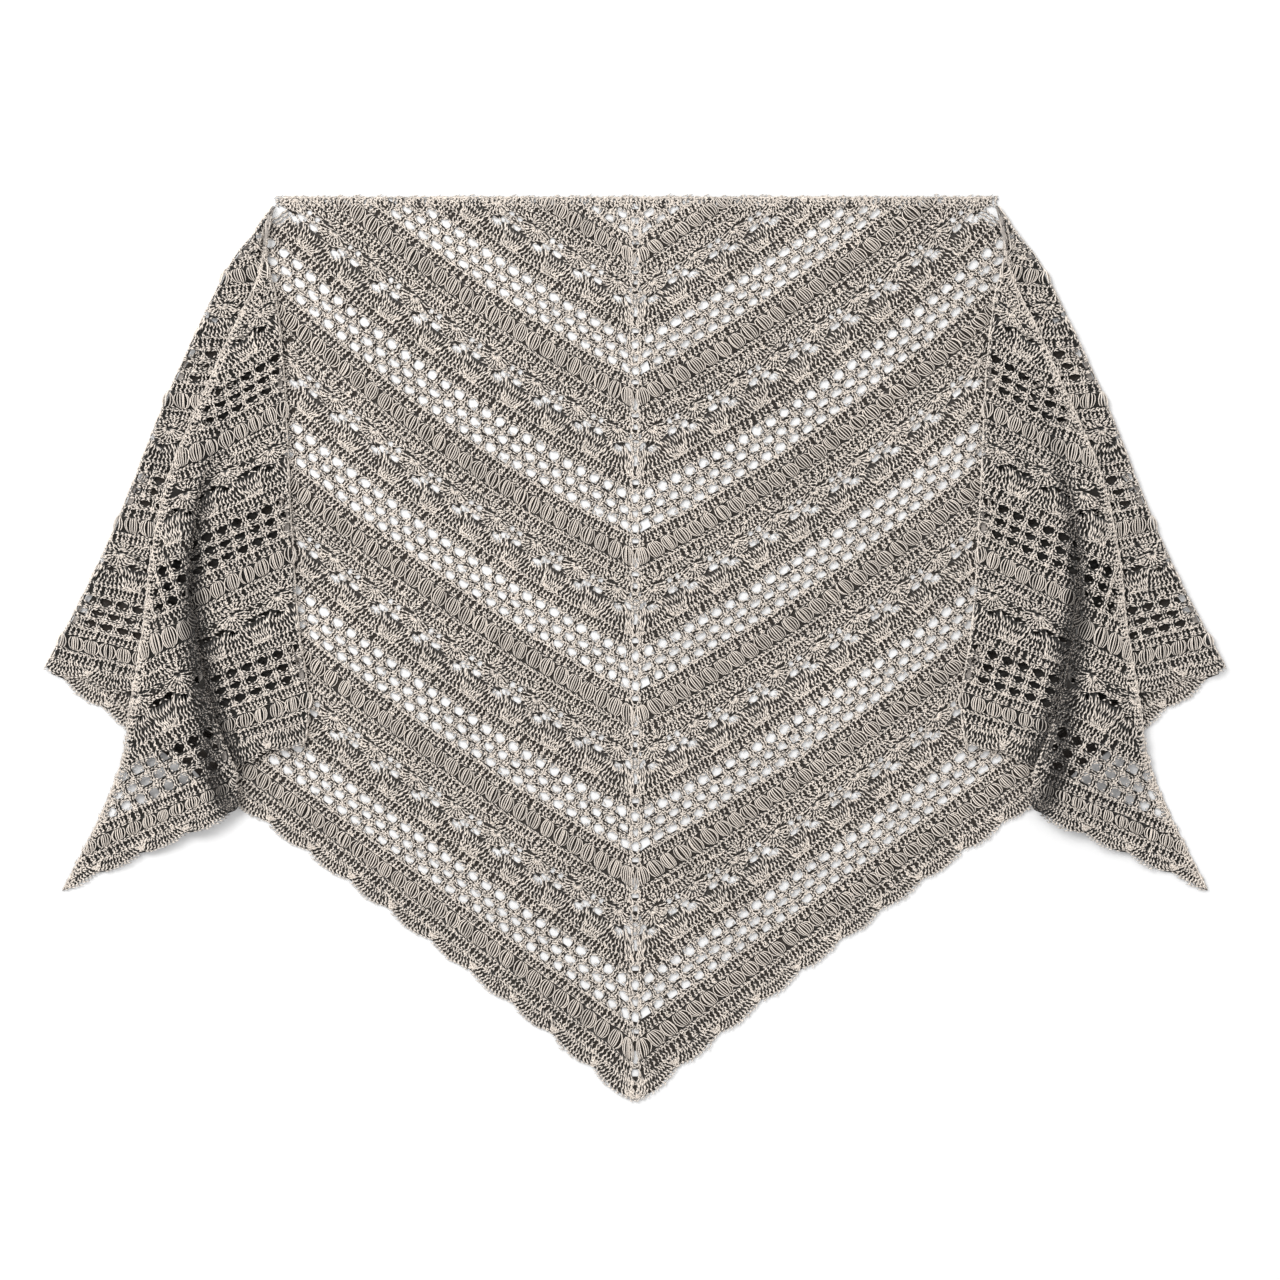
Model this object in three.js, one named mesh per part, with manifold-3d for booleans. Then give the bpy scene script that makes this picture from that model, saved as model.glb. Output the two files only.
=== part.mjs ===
// A crocheted triangular shawl, laid flat on a table with both long ends turned over its front.
// The V-shaped courses run out from the spine. They repeat a row of puff stitches, two rows of
// fans, plain rows and three rows of open mesh, and the hem is a row of scalloped fans.
// Each end folds over the front at the outer fold, back out again at the inner fold, and then
// has one soft tuck, beyond which the tip lies on the table past the hem.
// Millimetres. +X points to the right-hand end, +Y from the hem's tip to the top edge, +Z up.
// "out" is the distance from the spine. Both halves are the same, mirrored in the spine.
import * as THREE from 'three';
import { mergeVertices } from 'three/addons/utils/BufferGeometryUtils.js';
import Module from 'manifold-3d';

const wasm = await Module();
wasm.setup();

// Driving sizes
const DEPTH = 754;            // top edge to the tip of the hem
const TOP = DEPTH / 2;        // the top edge's place, with the origin in the middle of the depth
const SLANT = 0.7;            // how far a course climbs for each millimetre out from the spine
const WALL = 2.4;             // thickness of the crochet
const LAYER_GAP = 0.35;       // air between layers that lie on each other
const BEND = 2.15;            // centre-line radius of the outer and inner folds
const LIP = 3;                // flat stretch between a fold and the seam with the next layer
const SEAM = 0.3;             // gap where two stretches of the cloth meet
const PITCH = 13.7;           // one puff, or one mesh hole with its post, along a course
const PUFF_RISE = 2.2;        // how far a puff stands over the plain crochet
const SCALLOP = { pitch: 34.4, depth: 2.4, steps: 6 };

const REST_LEVEL = WALL / 2;                           // middle of the layer on the table
const TURNED_LEVEL = REST_LEVEL + WALL + LAYER_GAP;    // middle of the turned-back layer
const END_LEVEL = TURNED_LEVEL + WALL + LAYER_GAP + 0.2;
const SETTLE = 16;            // distance over which a layer comes down to what it lies on
const CARRY = 40;             // how far past a hem a layer above it is still held up
const FOLD_REACH = BEND + WALL / 2 + LIP;

// Courses are numbered from the top edge: 1 to 6 are the upper lines of the puff rows, 7 is the
// hem's base line and 8 its edge. Spine, mid and far are the drop below the top edge at 0, 125
// and 290 mm out, the slant taken off. Outer, inner and edge are distances from the corner along
// the outer fold, the inner fold and the turned-over top edge. Valley and tuck are distances
// along the tuck, where the course goes in below it and where it comes out on top.
const COURSES = [
  { line: 0, spine: 0, mid: 0, far: 0 },
  { line: 1, spine: 44, mid: 48, far: 44 },
  { line: 2, spine: 160, mid: 171, far: 156, outer: -40, inner: -24, edge: -41, valley: -29, tuck: -29 },
  { line: 3, spine: 292, mid: 309, far: 294, outer: 67, inner: 41, edge: 70, valley: 45, tuck: 45 },
  { line: 4, spine: 423, mid: 436, far: 430, outer: 179, inner: 158, edge: 217, valley: 187, tuck: 187 },
  { line: 5, spine: 557, mid: 570, far: 564, outer: 290, inner: 278, edge: 378, valley: 320, tuck: 338 },
  { line: 6, spine: 700, mid: 698, far: 693, outer: 398, inner: 400, edge: 553, valley: 429, tuck: 478 },
  { line: 7, spine: 737, mid: 727, far: 721, outer: 421, inner: 426, edge: 584, valley: 448, tuck: 494 },
  { line: 8, spine: 754, mid: 741, far: 735, outer: 432, inner: 443, edge: 600, valley: 466, tuck: 506 },
];
const MID_OUT = 125;
const FAR_OUT = 290;
const HEM_LINE = 8;

// Share of a repeat that each row takes, from one puff row's upper line to the next.
const PUFF_ROW = { from: 0, to: 0.155 };
const WIDE_MESH_ROW = { from: 0.615, to: 0.71 };
const HEM_PUFF_ROW = { from: 6, to: 6.6 };

// Folds and edges of one end, as [out, y] points
const OUTER_FOLD = spline([[299, 372], [318, 345], [340, 314], [386, 217], [440, 84], [491, -16]]);
const INNER_FOLD = spline([[301, 364], [305, 324], [298, 296], [291, 236], [286, 134], [280, 34],
  [270, -40], [274, -80]]);
const TOP_EDGE = spline([[299, 369], [305, 341], [314, 305], [331, 271], [361, 206], [386, 146],
  [401, 80], [408, 17], [419, -47], [424, -85], [443, -135], [476, -200]]);
const TUCK = spline([[302, 358], [305, 335], [311, 305], [328, 241], [349, 175], [364, 117],
  [370, 62], [369, 36], [362, -3], [353, -47], [341, -82], [330, -107], [328, -134]]);

// Where the turned-over end starts to cover the panel on one half: the inner fold, then the
// turned hems.
const COVERED = [...INNER_FOLD.points, new THREE.Vector2(328, -98), new THREE.Vector2(326, -140)];

// The tuck is a plain slope near the corner and a soft S that laps over itself lower down.
const TUCKED = { starts: 3.4, full: 4.9, rise: 9, reach: 12, curl: 3 };

function spline(points) {
  return new THREE.SplineCurve(points.map(([out, y]) => new THREE.Vector2(out, y)));
}

function along(curve, distance) {
  return curve.getPointAt(THREE.MathUtils.clamp(distance / curve.getLength(), 0, 1));
}

// A column of COURSES at a line number, whole or not.
function columnAt(column, line) {
  const next = Math.min(COURSES.length - 1, Math.floor(line) + 1);
  const before = COURSES[next - 1];
  return THREE.MathUtils.lerp(before[column], COURSES[next][column], line - before.line);
}

// How far a course lies below the slanting line through the top of the spine: a parabola
// through its three stated drops, and level beyond the last of them.
function drop(line, out) {
  const reach = Math.min(out, FAR_OUT);
  const spine = columnAt('spine', line);
  const mid = columnAt('mid', line) - spine;
  const far = columnAt('far', line) - spine;
  const bow = (far / FAR_OUT - mid / MID_OUT) / (FAR_OUT - MID_OUT);
  return spine + reach * (mid / MID_OUT + bow * (reach - MID_OUT));
}

function courseY(line, out) {
  return TOP - drop(line, out) + SLANT * out;
}

function smooth(share) {
  return THREE.MathUtils.smoothstep(share, 0, 1);
}

// The number that says how high a point lies in its place on a puff row: 1 on its crest.
function puffShape(line, distance) {
  const share = line >= HEM_PUFF_ROW.from
    ? (line - HEM_PUFF_ROW.from) / (HEM_PUFF_ROW.to - HEM_PUFF_ROW.from)
    : (line - Math.floor(line)) / PUFF_ROW.to;
  if (share <= 0 || share >= 1) return 0;
  const across = Math.sin(Math.PI * share);
  return across * (0.45 + 0.55 * Math.abs(Math.sin(Math.PI * distance / PITCH)));
}

// Solids

function solidFrom(geometry) {
  geometry.deleteAttribute('normal');
  geometry.deleteAttribute('uv');
  const merged = mergeVertices(geometry, 1e-4);
  return new wasm.Manifold(new wasm.Mesh({
    numProp: 3,
    vertProperties: new Float32Array(merged.attributes.position.array),
    triVerts: new Uint32Array(merged.index.array),
  }));
}

function geometryFrom(solid) {
  const mesh = solid.getMesh();
  const geometry = new THREE.BufferGeometry();
  geometry.setAttribute('position', new THREE.BufferAttribute(mesh.vertProperties, 3));
  geometry.setIndex(new THREE.BufferAttribute(mesh.triVerts, 1));
  geometry.computeVertexNormals();
  return geometry;
}

// A closed solid between two grids of points that have the same rows and columns.
function solidBetween(outer, inner) {
  const rows = outer.length;
  const columns = outer[0].length;
  const positions = [...outer.flat(), ...inner.flat()].flatMap((p) => [p.x, p.y, p.z]);
  const at = (side, row, column) => side * rows * columns + row * columns + column;
  const index = [];
  const quad = (a, b, c, d) => index.push(a, b, c, a, c, d);
  for (let r = 0; r + 1 < rows; r++) {
    for (let c = 0; c + 1 < columns; c++) {
      quad(at(0, r, c), at(0, r + 1, c), at(0, r + 1, c + 1), at(0, r, c + 1));
      quad(at(1, r, c), at(1, r, c + 1), at(1, r + 1, c + 1), at(1, r + 1, c));
    }
    quad(at(0, r + 1, 0), at(0, r, 0), at(1, r, 0), at(1, r + 1, 0));
    quad(at(0, r, columns - 1), at(0, r + 1, columns - 1), at(1, r + 1, columns - 1),
      at(1, r, columns - 1));
  }
  for (let c = 0; c + 1 < columns; c++) {
    quad(at(0, 0, c), at(0, 0, c + 1), at(1, 0, c + 1), at(1, 0, c));
    quad(at(0, rows - 1, c + 1), at(0, rows - 1, c), at(1, rows - 1, c), at(1, rows - 1, c + 1));
  }
  const geometry = new THREE.BufferGeometry();
  geometry.setAttribute('position', new THREE.Float32BufferAttribute(positions, 3));
  geometry.setIndex(index);
  return solidFrom(geometry);
}

// A wall of the cloth's thickness about a grid of middle points. Facing is 1 where the way down
// the rows and across the columns turns to the side that the puffs stand out of, else -1.
function wallAbout(grid, facing, riseAt) {
  const point = (r, c) => grid[Math.min(Math.max(r, 0), grid.length - 1)][
    Math.min(Math.max(c, 0), grid[0].length - 1)];
  const side = (offset) => grid.map((row, r) => row.map((p, c) => {
    const down = point(r + 1, c).clone().sub(point(r - 1, c));
    const across = point(r, c + 1).clone().sub(point(r, c - 1));
    const normal = down.cross(across).normalize();
    return p.clone().addScaledVector(normal, facing * offset(r, c));
  }));
  const face = side((r, c) => WALL / 2 + riseAt(r, c));
  const back = side(() => -WALL / 2);
  return facing > 0 ? solidBetween(face, back) : solidBetween(back, face);
}

// A straight-sided block between two heights, from its corners as [out, y] points.
function block(corners, low, high) {
  const shape = new THREE.Shape(corners.map(([out, y]) => new THREE.Vector2(out, y)));
  const geometry = new THREE.ExtrudeGeometry(shape, { depth: high - low, bevelEnabled: false });
  return solidFrom(geometry.translate(0, 0, low));
}

// Centre panel

// The outer fold, moved in by the reach of the folded stretch and the seam beside it.
function panelSide() {
  const steps = 14;
  const inset = FOLD_REACH + SEAM;
  return Array.from({ length: steps + 1 }, (_, i) => {
    const place = OUTER_FOLD.getPointAt(i / steps);
    const way = OUTER_FOLD.getTangentAt(i / steps);
    return [place.x + way.y * inset, place.y - way.x * inset];
  });
}

function hemY(out) {
  const wave = Math.cos(2 * Math.PI * (out / SCALLOP.pitch - 0.5));
  return courseY(HEM_LINE, out) - SCALLOP.depth * wave * smooth(out / SCALLOP.pitch);
}

function halfPanelOutline() {
  const side = panelSide().filter(([out, y]) => y < TOP - 1 && y > courseY(HEM_LINE, out) + 4);
  const lastOut = side.at(-1)[0];
  const step = SCALLOP.pitch / SCALLOP.steps;
  const hem = [];
  for (let out = step; out < lastOut + 2; out += step) hem.unshift([out, hemY(out)]);
  return [[side[0][0] + 1, TOP], ...side, ...hem, [0, -TOP]];
}

// How far out a course can carry stitches before the top edge or the inner fold covers it.
function visibleReach(line) {
  const edging = 9;
  let out = 0;
  while (courseY(line, out) < TOP - edging && out < outAt(COVERED, courseY(line, out)) - 7) out += 1;
  return out;
}

// How far out a line of points, listed downwards, lies at a given height.
function outAt(points, y) {
  const i = points.findIndex((p) => p.y < y);
  if (i === 0) return points[0].x;
  if (i < 0) return points.at(-1).x;
  const share = (y - points[i - 1].y) / (points[i].y - points[i - 1].y);
  return THREE.MathUtils.lerp(points[i - 1].x, points[i].x, share);
}

function outAlongCourse(pitches) {
  return pitches * PITCH / Math.hypot(1, SLANT);
}

// The wide holes of one repeat's mesh, as blocks to cut with, on one side of the spine.
function panelHoles(repeat, side) {
  const low = repeat + WIDE_MESH_ROW.from + 0.012;
  const high = repeat + WIDE_MESH_ROW.to - 0.02;
  const half = outAlongCourse(0.33);
  const holes = [];
  const last = visibleReach((low + high) / 2) - half;
  for (let n = 1; outAlongCourse(n) < last; n++) {
    const out = outAlongCourse(n);
    const corners = [
      [out - half, courseY(high, out - half)], [out + half, courseY(high, out + half)],
      [out + half, courseY(low, out + half)], [out - half, courseY(low, out - half)],
    ].map(([o, y]) => [side * o, y]);
    holes.push(block(side > 0 ? corners : corners.reverse(), -1, WALL + 1));
  }
  return holes;
}

// One row of puffs, as a rib whose crest rises over each puff and dips between two.
function panelPuffs(line, toLine, side) {
  const middle = (line + toLine) / 2;
  const sunk = 0.6;
  const last = visibleReach(middle);
  const upper = [];
  const lower = [];
  for (let n = 0; outAlongCourse(n / 2 + 0.35) < last; n++) {
    const out = outAlongCourse(n / 2 + 0.35);
    const crest = n % 2 ? PUFF_RISE : PUFF_RISE * 0.4;
    const across = (heights) => [line, middle, toLine].map((l, i) =>
      new THREE.Vector3(side * out, courseY(l, out), heights[i]));
    upper.push(across([WALL, WALL + crest, WALL]));
    lower.push(across([WALL - sunk, WALL - sunk, WALL - sunk]));
  }
  return side > 0 ? solidBetween(lower, upper) : solidBetween(upper, lower);
}

function centrePanel() {
  const half = halfPanelOutline();
  const outline = [...half, ...half.slice(0, -1).reverse().map(([out, y]) => [-out, y])];
  const cuts = [];
  const ribs = [];
  for (const side of [-1, 1]) {
    for (const repeat of [1, 2, 3, 4, 5]) cuts.push(...panelHoles(repeat, side));
    for (const line of [1, 2, 3, 4, 5]) ribs.push(panelPuffs(line, line + PUFF_ROW.to, side));
    ribs.push(panelPuffs(HEM_PUFF_ROW.from, HEM_PUFF_ROW.to, side));
  }
  const slab = block(outline.reverse(), 0, WALL);
  return wasm.Manifold.union([slab, ...ribs]).subtract(wasm.Manifold.union(cuts));
}

// Turned-over ends

// Points of a fold from one layer up to the next, seen in section: distance in from the fold's
// outermost line, and height. The lip comes first.
function foldSection(lowLevel) {
  const steps = 4;
  const inset = BEND + WALL / 2;
  const turn = Array.from({ length: steps + 1 }, (_, i) => {
    const angle = -Math.PI / 2 + Math.PI * i / steps;
    return { inward: inset - BEND * Math.cos(angle), z: lowLevel + BEND * (1 + Math.sin(angle)) };
  });
  return [{ inward: FOLD_REACH, z: lowLevel }, ...turn];
}

// Level of a layer over a point: on the panel and the turned-back layer, or on the panel, or on
// the table. It comes down over a short way, some distance past the hem of what carries it.
function endLevel(out, y) {
  const ease = (hem) => smooth((y - hem + CARRY + SETTLE) / SETTLE);
  const overPanel = ease(courseY(HEM_LINE, out));
  const turnedHem = [INNER_FOLD.points.at(-1), OUTER_FOLD.points.at(-1)];
  const share = (out - turnedHem[0].x) / (turnedHem[1].x - turnedHem[0].x);
  const overTurned = ease(THREE.MathUtils.lerp(turnedHem[0].y, turnedHem[1].y, share));
  const step = WALL + LAYER_GAP;
  return REST_LEVEL + step * overPanel + (END_LEVEL - TURNED_LEVEL) * overTurned * overPanel;
}

// Where one course crosses the folds, the tuck and the top edge, and the way in from each fold,
// square to it. Inward is 1 towards the spine and -1 away from it.
function crossing(curve, distance, inward) {
  const share = THREE.MathUtils.clamp(distance / curve.getLength(), 0, 1);
  const way = curve.getTangentAt(share);
  return { at: curve.getPointAt(share), way: new THREE.Vector2(way.y, -way.x).multiplyScalar(inward) };
}

function endCourse(line) {
  return {
    outer: crossing(OUTER_FOLD, columnAt('outer', line), 1),
    inner: crossing(INNER_FOLD, columnAt('inner', line), -1),
    edge: along(TOP_EDGE, columnAt('edge', line)),
    valley: along(TUCK, columnAt('valley', line)),
    tuck: along(TUCK, columnAt('tuck', line)),
  };
}

// Courses that the grids of both folded-over stretches are laid along
const END_LINES = [2.62, 3, 3.08, 3.16, 3.55, 4, 4.08, 4.16, 4.55, 5, 5.08, 5.16, 5.35, 5.6, 6, 6.3,
  6.6, 7, 7.5, 8];
const FOLD_COLUMNS = 6;       // points of a course up to the top of its fold
const FLAT_SHARES = [0.12, 0.3, 0.5, 0.7, 0.87];
const BEND_STEPS = 6;
const SLOPE_SHARES = [0.25, 0.45, 0.65, 0.85, 1];
const STRIP_STEP = 9;         // spacing across the turned-back strip that shows
const STRIP_COLUMNS = 7;

// Points round a fold, and the lip below it, at a crossing.
function foldPoints({ at, way }, lowLevel, room) {
  return foldSection(lowLevel).map(({ inward, z }) => {
    const p = at.clone().addScaledVector(way, Math.min(inward, room));
    return new THREE.Vector3(p.x, p.y, z);
  });
}

// The extra height that the top of a fold has over the flat layer, at a distance from it.
function foldLoft(fromFold, high, flat) {
  return (high - flat) * (1 - smooth(fromFold / 12));
}

// Middle points of one course of the turned-back layer, from its seam with the centre panel.
function turnedCourse(line) {
  const { outer, inner } = endCourse(line);
  const room = outer.at.distanceTo(inner.at) / 3;
  const folded = foldPoints(outer, REST_LEVEL, room);
  const start = outer.at.clone().addScaledVector(outer.way, Math.min(BEND + WALL / 2, room));
  const end = inner.at.clone().addScaledVector(inner.way, Math.min(FOLD_REACH + SEAM, room));
  const width = start.distanceTo(end);
  const strip = Math.min(STRIP_STEP, width / (STRIP_COLUMNS + 2));
  const steps = Array.from({ length: STRIP_COLUMNS }, (_, i) => (i + 1) * strip);
  const rest = [...steps, (steps.at(-1) + width) / 2, width].map((distance) => {
    const p = start.clone().lerp(end, distance / width);
    const loft = foldLoft(distance, REST_LEVEL + 2 * BEND, TURNED_LEVEL);
    return new THREE.Vector3(p.x, p.y, TURNED_LEVEL + loft);
  });
  return [...folded, ...rest];
}

// Middle points of one course of the end, from its seam with the turned-back layer, over the
// inner fold, across the tuck and out to the top edge.
function endCoursePoints(line) {
  const { inner, edge, valley, tuck } = endCourse(line);
  const room = inner.at.distanceTo(valley) / 3;
  const tipWidth = tuck.distanceTo(edge);
  const start = inner.at.clone().addScaledVector(inner.way, Math.min(BEND + WALL / 2, room));
  const inWay = valley.clone().sub(start).normalize();
  const outWay = edge.clone().sub(tuck).normalize();
  const width = start.distanceTo(valley);
  const lie = (p, rise) => new THREE.Vector3(p.x, p.y, endLevel(p.x, p.y) + rise);
  const deep = smooth((line - TUCKED.starts) / (TUCKED.full - TUCKED.starts));
  const rise = TUCKED.rise * deep;
  const reach = Math.min(TUCKED.reach, room, tipWidth / 3);
  const flat = FLAT_SHARES.map((share) => {
    const distance = (width - reach) * share;
    const loft = foldLoft(distance, TURNED_LEVEL + 2 * BEND, END_LEVEL);
    return lie(start.clone().addScaledVector(inWay, distance), loft);
  });
  const curl = reach * THREE.MathUtils.lerp(0.8, TUCKED.curl, deep);
  const low = valley.clone().addScaledVector(inWay, -reach);
  const high = tuck.clone().addScaledVector(outWay, reach);
  const bendCurve = new THREE.CubicBezierCurve(low, low.clone().addScaledVector(inWay, curl),
    high.clone().addScaledVector(outWay, -curl), high);
  const bend = Array.from({ length: BEND_STEPS + 1 }, (_, i) => {
    const t = i / BEND_STEPS;
    return lie(bendCurve.getPoint(t), cubic(0, 0, rise, rise, t));
  });
  const slope = SLOPE_SHARES.map((share) => {
    const distance = THREE.MathUtils.lerp(reach, tipWidth, share);
    return lie(tuck.clone().addScaledVector(outWay, distance), rise * (1 - smooth(share)));
  });
  return [...foldPoints(inner, TURNED_LEVEL, room), ...flat, ...bend, ...slope];
}

function cubic(a, b, c, d, t) {
  const s = 1 - t;
  return s * s * s * a + 3 * s * s * t * b + 3 * s * t * t * c + t * t * t * d;
}

function runAlong(points) {
  let distance = 0;
  return points.map((p, i) => (distance += i ? p.distanceTo(points[i - 1]) : 0));
}

// The point at a distance along some points.
function pointAtRun(points, distance) {
  const run = runAlong(points);
  const i = THREE.MathUtils.clamp(run.findIndex((d) => d > distance), 1, points.length - 1);
  return points[i - 1].clone().lerp(points[i], (distance - run[i - 1]) / (run[i] - run[i - 1]));
}

// The wide holes of the ends, cut straight down through one layer, between two columns.
function holesBetween(course, from, to) {
  const holes = [];
  for (const repeat of [3, 4, 5]) {
    const upper = course(repeat + WIDE_MESH_ROW.from + 0.012).slice(from, to + 1);
    const lower = course(repeat + WIDE_MESH_ROW.to - 0.02).slice(from, to + 1);
    const length = runAlong(lower).at(-1);
    for (let d = PITCH * 0.8; d < length - PITCH * 0.5; d += PITCH) {
      const half = PITCH * 0.33;
      const corners = [pointAtRun(lower, d - half), pointAtRun(lower, d + half),
        pointAtRun(upper, d + half), pointAtRun(upper, d - half)];
      const z = corners.reduce((sum, p) => sum + p.z / 4, 0);
      holes.push(block(corners.map((p) => [p.x, p.y]), z - WALL - 1, z + WALL + 2));
    }
  }
  return holes;
}

// Puffs stand only out of the face that shows.
function turnedBack() {
  const grid = END_LINES.map(turnedCourse);
  const topEdge = TOP_EDGE.getPoints(60);
  const run = grid.map(runAlong);
  const shows = (p) => smooth((p.x - outAt(topEdge, p.y) - 9) / 8);
  return wallAbout(grid, -1, (r, c) => (c < FOLD_COLUMNS ? 0
    : 0.8 * PUFF_RISE * puffShape(END_LINES[r], run[r][c]) * shows(grid[r][c])));
}

function turnedEnd() {
  const grid = END_LINES.map(endCoursePoints);
  const run = grid.map(runAlong);
  const wall = wallAbout(grid, 1, (r, c) => (c < FOLD_COLUMNS ? 0
    : 0.8 * PUFF_RISE * puffShape(END_LINES[r], run[r][c])));
  const flatEnd = FOLD_COLUMNS + FLAT_SHARES.length;
  const slopeStart = flatEnd + BEND_STEPS;
  const slopeEnd = slopeStart + SLOPE_SHARES.length;
  const holes = [...holesBetween(endCoursePoints, FOLD_COLUMNS, flatEnd),
    ...holesBetween(endCoursePoints, slopeStart, slopeEnd)];
  return wall.subtract(wasm.Manifold.union(holes));
}

// Assembly

const yarn = (name, color, roughness) => new THREE.MeshStandardMaterial({
  name, color, roughness, metalness: 0,
});
const FRONT = yarn('taupe crochet', 0xafa69c, 0.92);
const TURNED = yarn('taupe crochet, wrong side', 0xa59b91, 0.94);

function piece(name, solid, material, side) {
  const oriented = side > 0 ? solid : solid.mirror([1, 0, 0]);
  const mesh = new THREE.Mesh(geometryFrom(oriented), material);
  mesh.name = name;
  return mesh;
}

const shawl = new THREE.Group();
shawl.name = 'shawl';
shawl.add(piece('centre_panel', centrePanel(), FRONT, 1));
for (const [name, side] of [['left', -1], ['right', 1]]) {
  shawl.add(piece(name + '_turned_back', turnedBack(), TURNED, side));
  shawl.add(piece(name + '_end', turnedEnd(), FRONT, side));
}

export default shawl;
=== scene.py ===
"""A crocheted triangular shawl, laid flat with both long ends turned over its front.

Every stretch of the cloth is a thin knotted ground with its stitches worked over it, strand by
strand. A place on a stretch is given as (run, line, height): millimetres along a course, the
number of the course, and millimetres out of the middle of the cloth towards the side that shows.
"""
import logging
import math
from collections.abc import Iterable
from dataclasses import dataclass, field
from enum import Enum

import bpy
import numpy as np
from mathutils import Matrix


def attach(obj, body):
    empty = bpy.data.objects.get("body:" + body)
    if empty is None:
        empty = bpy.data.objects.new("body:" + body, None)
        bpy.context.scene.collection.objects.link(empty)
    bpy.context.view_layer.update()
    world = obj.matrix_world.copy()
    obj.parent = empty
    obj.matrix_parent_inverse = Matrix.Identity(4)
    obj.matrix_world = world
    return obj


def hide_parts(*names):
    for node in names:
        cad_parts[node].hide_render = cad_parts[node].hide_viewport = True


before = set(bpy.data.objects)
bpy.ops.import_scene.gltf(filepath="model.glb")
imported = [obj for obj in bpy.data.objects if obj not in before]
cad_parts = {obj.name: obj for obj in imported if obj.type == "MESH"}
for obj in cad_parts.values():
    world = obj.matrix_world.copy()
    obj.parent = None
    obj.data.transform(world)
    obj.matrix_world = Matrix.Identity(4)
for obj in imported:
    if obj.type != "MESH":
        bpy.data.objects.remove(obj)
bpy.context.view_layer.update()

LOG = logging.getLogger("shawl")
MM = 0.001

# The cloth's own sizes, in millimetres
DEPTH = 754.0                 # from the top edge to the tip of the hem
TOP = DEPTH / 2
SLANT = 0.7                   # how much the courses fall for each millimetre from the spine
ALONG = math.hypot(1.0, SLANT)
WALL = 2.4                    # thickness of one layer, as the solids have it
LAYER_GAP = 0.35
EDGE_REACH = 299.0            # how far the top edge of the panel reaches from the spine
EDGE_ROOM = 1.4               # how far below the top edge the courses stop
EDGE_LIMIT = 1.0              # the nearest that the panel's points come to the top edge
END_ROOM = 0.6                # how far courses stop short of a fold or a free end
STRAND_ROOM = 0.5             # how much further short of it the panel's strands stop
FARTHEST = 500.0              # further from the spine than any point of the panel
RIPPLE = 0.25                 # height of the panel's faint ripple
RIPPLE_LENGTHS = (31.0, 90.0)
RIPPLE_TURN = 7.0             # how much it shifts from line to line

# Folds and tuck, in millimetres
BEND = 2.15                   # radius of the folds, at the middle of the cloth
LIP = 3.0                     # length of the lower layer that belongs to a fold
SEAM = 0.3                    # gap between two stretches inside a fold
LOFT = 12.0                   # distance in which a fold settles to the flat layer
REST_LEVEL = WALL / 2
TURNED_LEVEL = REST_LEVEL + WALL + LAYER_GAP
END_LEVEL = TURNED_LEVEL + WALL + LAYER_GAP + 0.2
SETTLE = 16.0                 # distance in which the top layer comes down past a hem
CARRY = 40.0                  # how far past a hem it is still held up
FOLD_REACH = BEND + WALL / 2 + LIP
FOLD_LINE = 2.4               # line number at which the turned-over ends start
TUCK_STARTS, TUCK_FULL, TUCK_RISE, TUCK_REACH, TUCK_CURL = 3.4, 4.9, 9.0, 12.0, 3.0
FLAT_CURL = 0.8               # the curl where the tuck has run out
UPRIGHT = -0.35               # slope, as the z of the normal, past which a fold shows its front

# Stitch sizes, in millimetres
PITCH = 13.7                  # one puff, or one mesh hole with its post
STITCH = PITCH / 4            # one plain stitch
FLOWER = PITCH * 3            # one flower of fans
YARN = 0.62                   # radius of the yarn
POST_YARN, LOOP_YARN, RING_YARN = YARN * 1.4, YARN * 1.1, YARN * 1.35
PUFF_YARN, CORD_YARN = YARN * 0.95, YARN * 0.85
SIDES = 3                     # sides of a strand
LINE_HEIGHT = 108.0           # rough height of one line's worth of courses, square to them
HEM_LINE = 8.0                # line number of the hem
OVER_HEM = 0.5                # how many lines the scallops may hang below the hem
COVER_MARGIN = 9.0            # how far under another stretch stitches are still worked
PUFF_MARGIN = 5.0             # the same for puffs, which stand higher
SPINE_OPEN = 3.7              # half the width of the openings along the spine
SPINE_CLEAR = 4.5             # how far from the spine the rows of stitches start
CLOSED_EDGE = 9.0             # width below the top edge that has no openings

# Painted shade: how depth in the cloth darkens the yarn's colour, as millimetres out of the middle
# of the cloth
LIT_HEIGHT = 0.8              # height at which the yarn is well lit
CREST = 0.72                  # painted shade: height above which a strand's flanks are painted no lighter
TIP_SINK = 0.4                # how much darker the painted shade makes the ends of a strand, as extra depth
HOLLOW = 1.4                  # how much painted shadow darkens the hollow beside the tuck
HOLLOW_MIDDLE, HOLLOW_HALF = 4.0, 17.0
UNLIT_DEPTH, LIT_DEPTH = -0.45, 0.75

# Steps in which shapes are measured, and a number too small to matter
PROBE_RUN, PROBE_OUT, PROBE_LINE = 0.5, 0.3, 0.02
LEAST_SPAN = 4.0              # least height of a line, square to its course
TINY = 1e-9

# Courses by number, as the part's source has them: drops from the top edge at three distances
# from the spine, then distances along the folds, the free edge and the tuck.
COURSE_COLUMNS = ("line", "spine", "mid", "far", "outer", "inner", "edge", "valley", "tuck")
COURSES = np.array((
    (0, 0, 0, 0, 0, 0, 0, 0, 0),
    (1, 44, 48, 44, 0, 0, 0, 0, 0),
    (2, 160, 171, 156, -40, -24, -41, -29, -29),
    (3, 292, 309, 294, 67, 41, 70, 45, 45),
    (4, 423, 436, 430, 179, 158, 217, 187, 187),
    (5, 557, 570, 564, 290, 278, 378, 320, 338),
    (6, 700, 698, 693, 398, 400, 553, 429, 478),
    (7, 737, 727, 721, 421, 426, 584, 448, 494),
    (8, 754, 741, 735, 432, 443, 600, 466, 506),
    (8.5, 762.5, 748, 742, 437.5, 451.5, 608, 475, 512),
), dtype=float)
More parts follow.
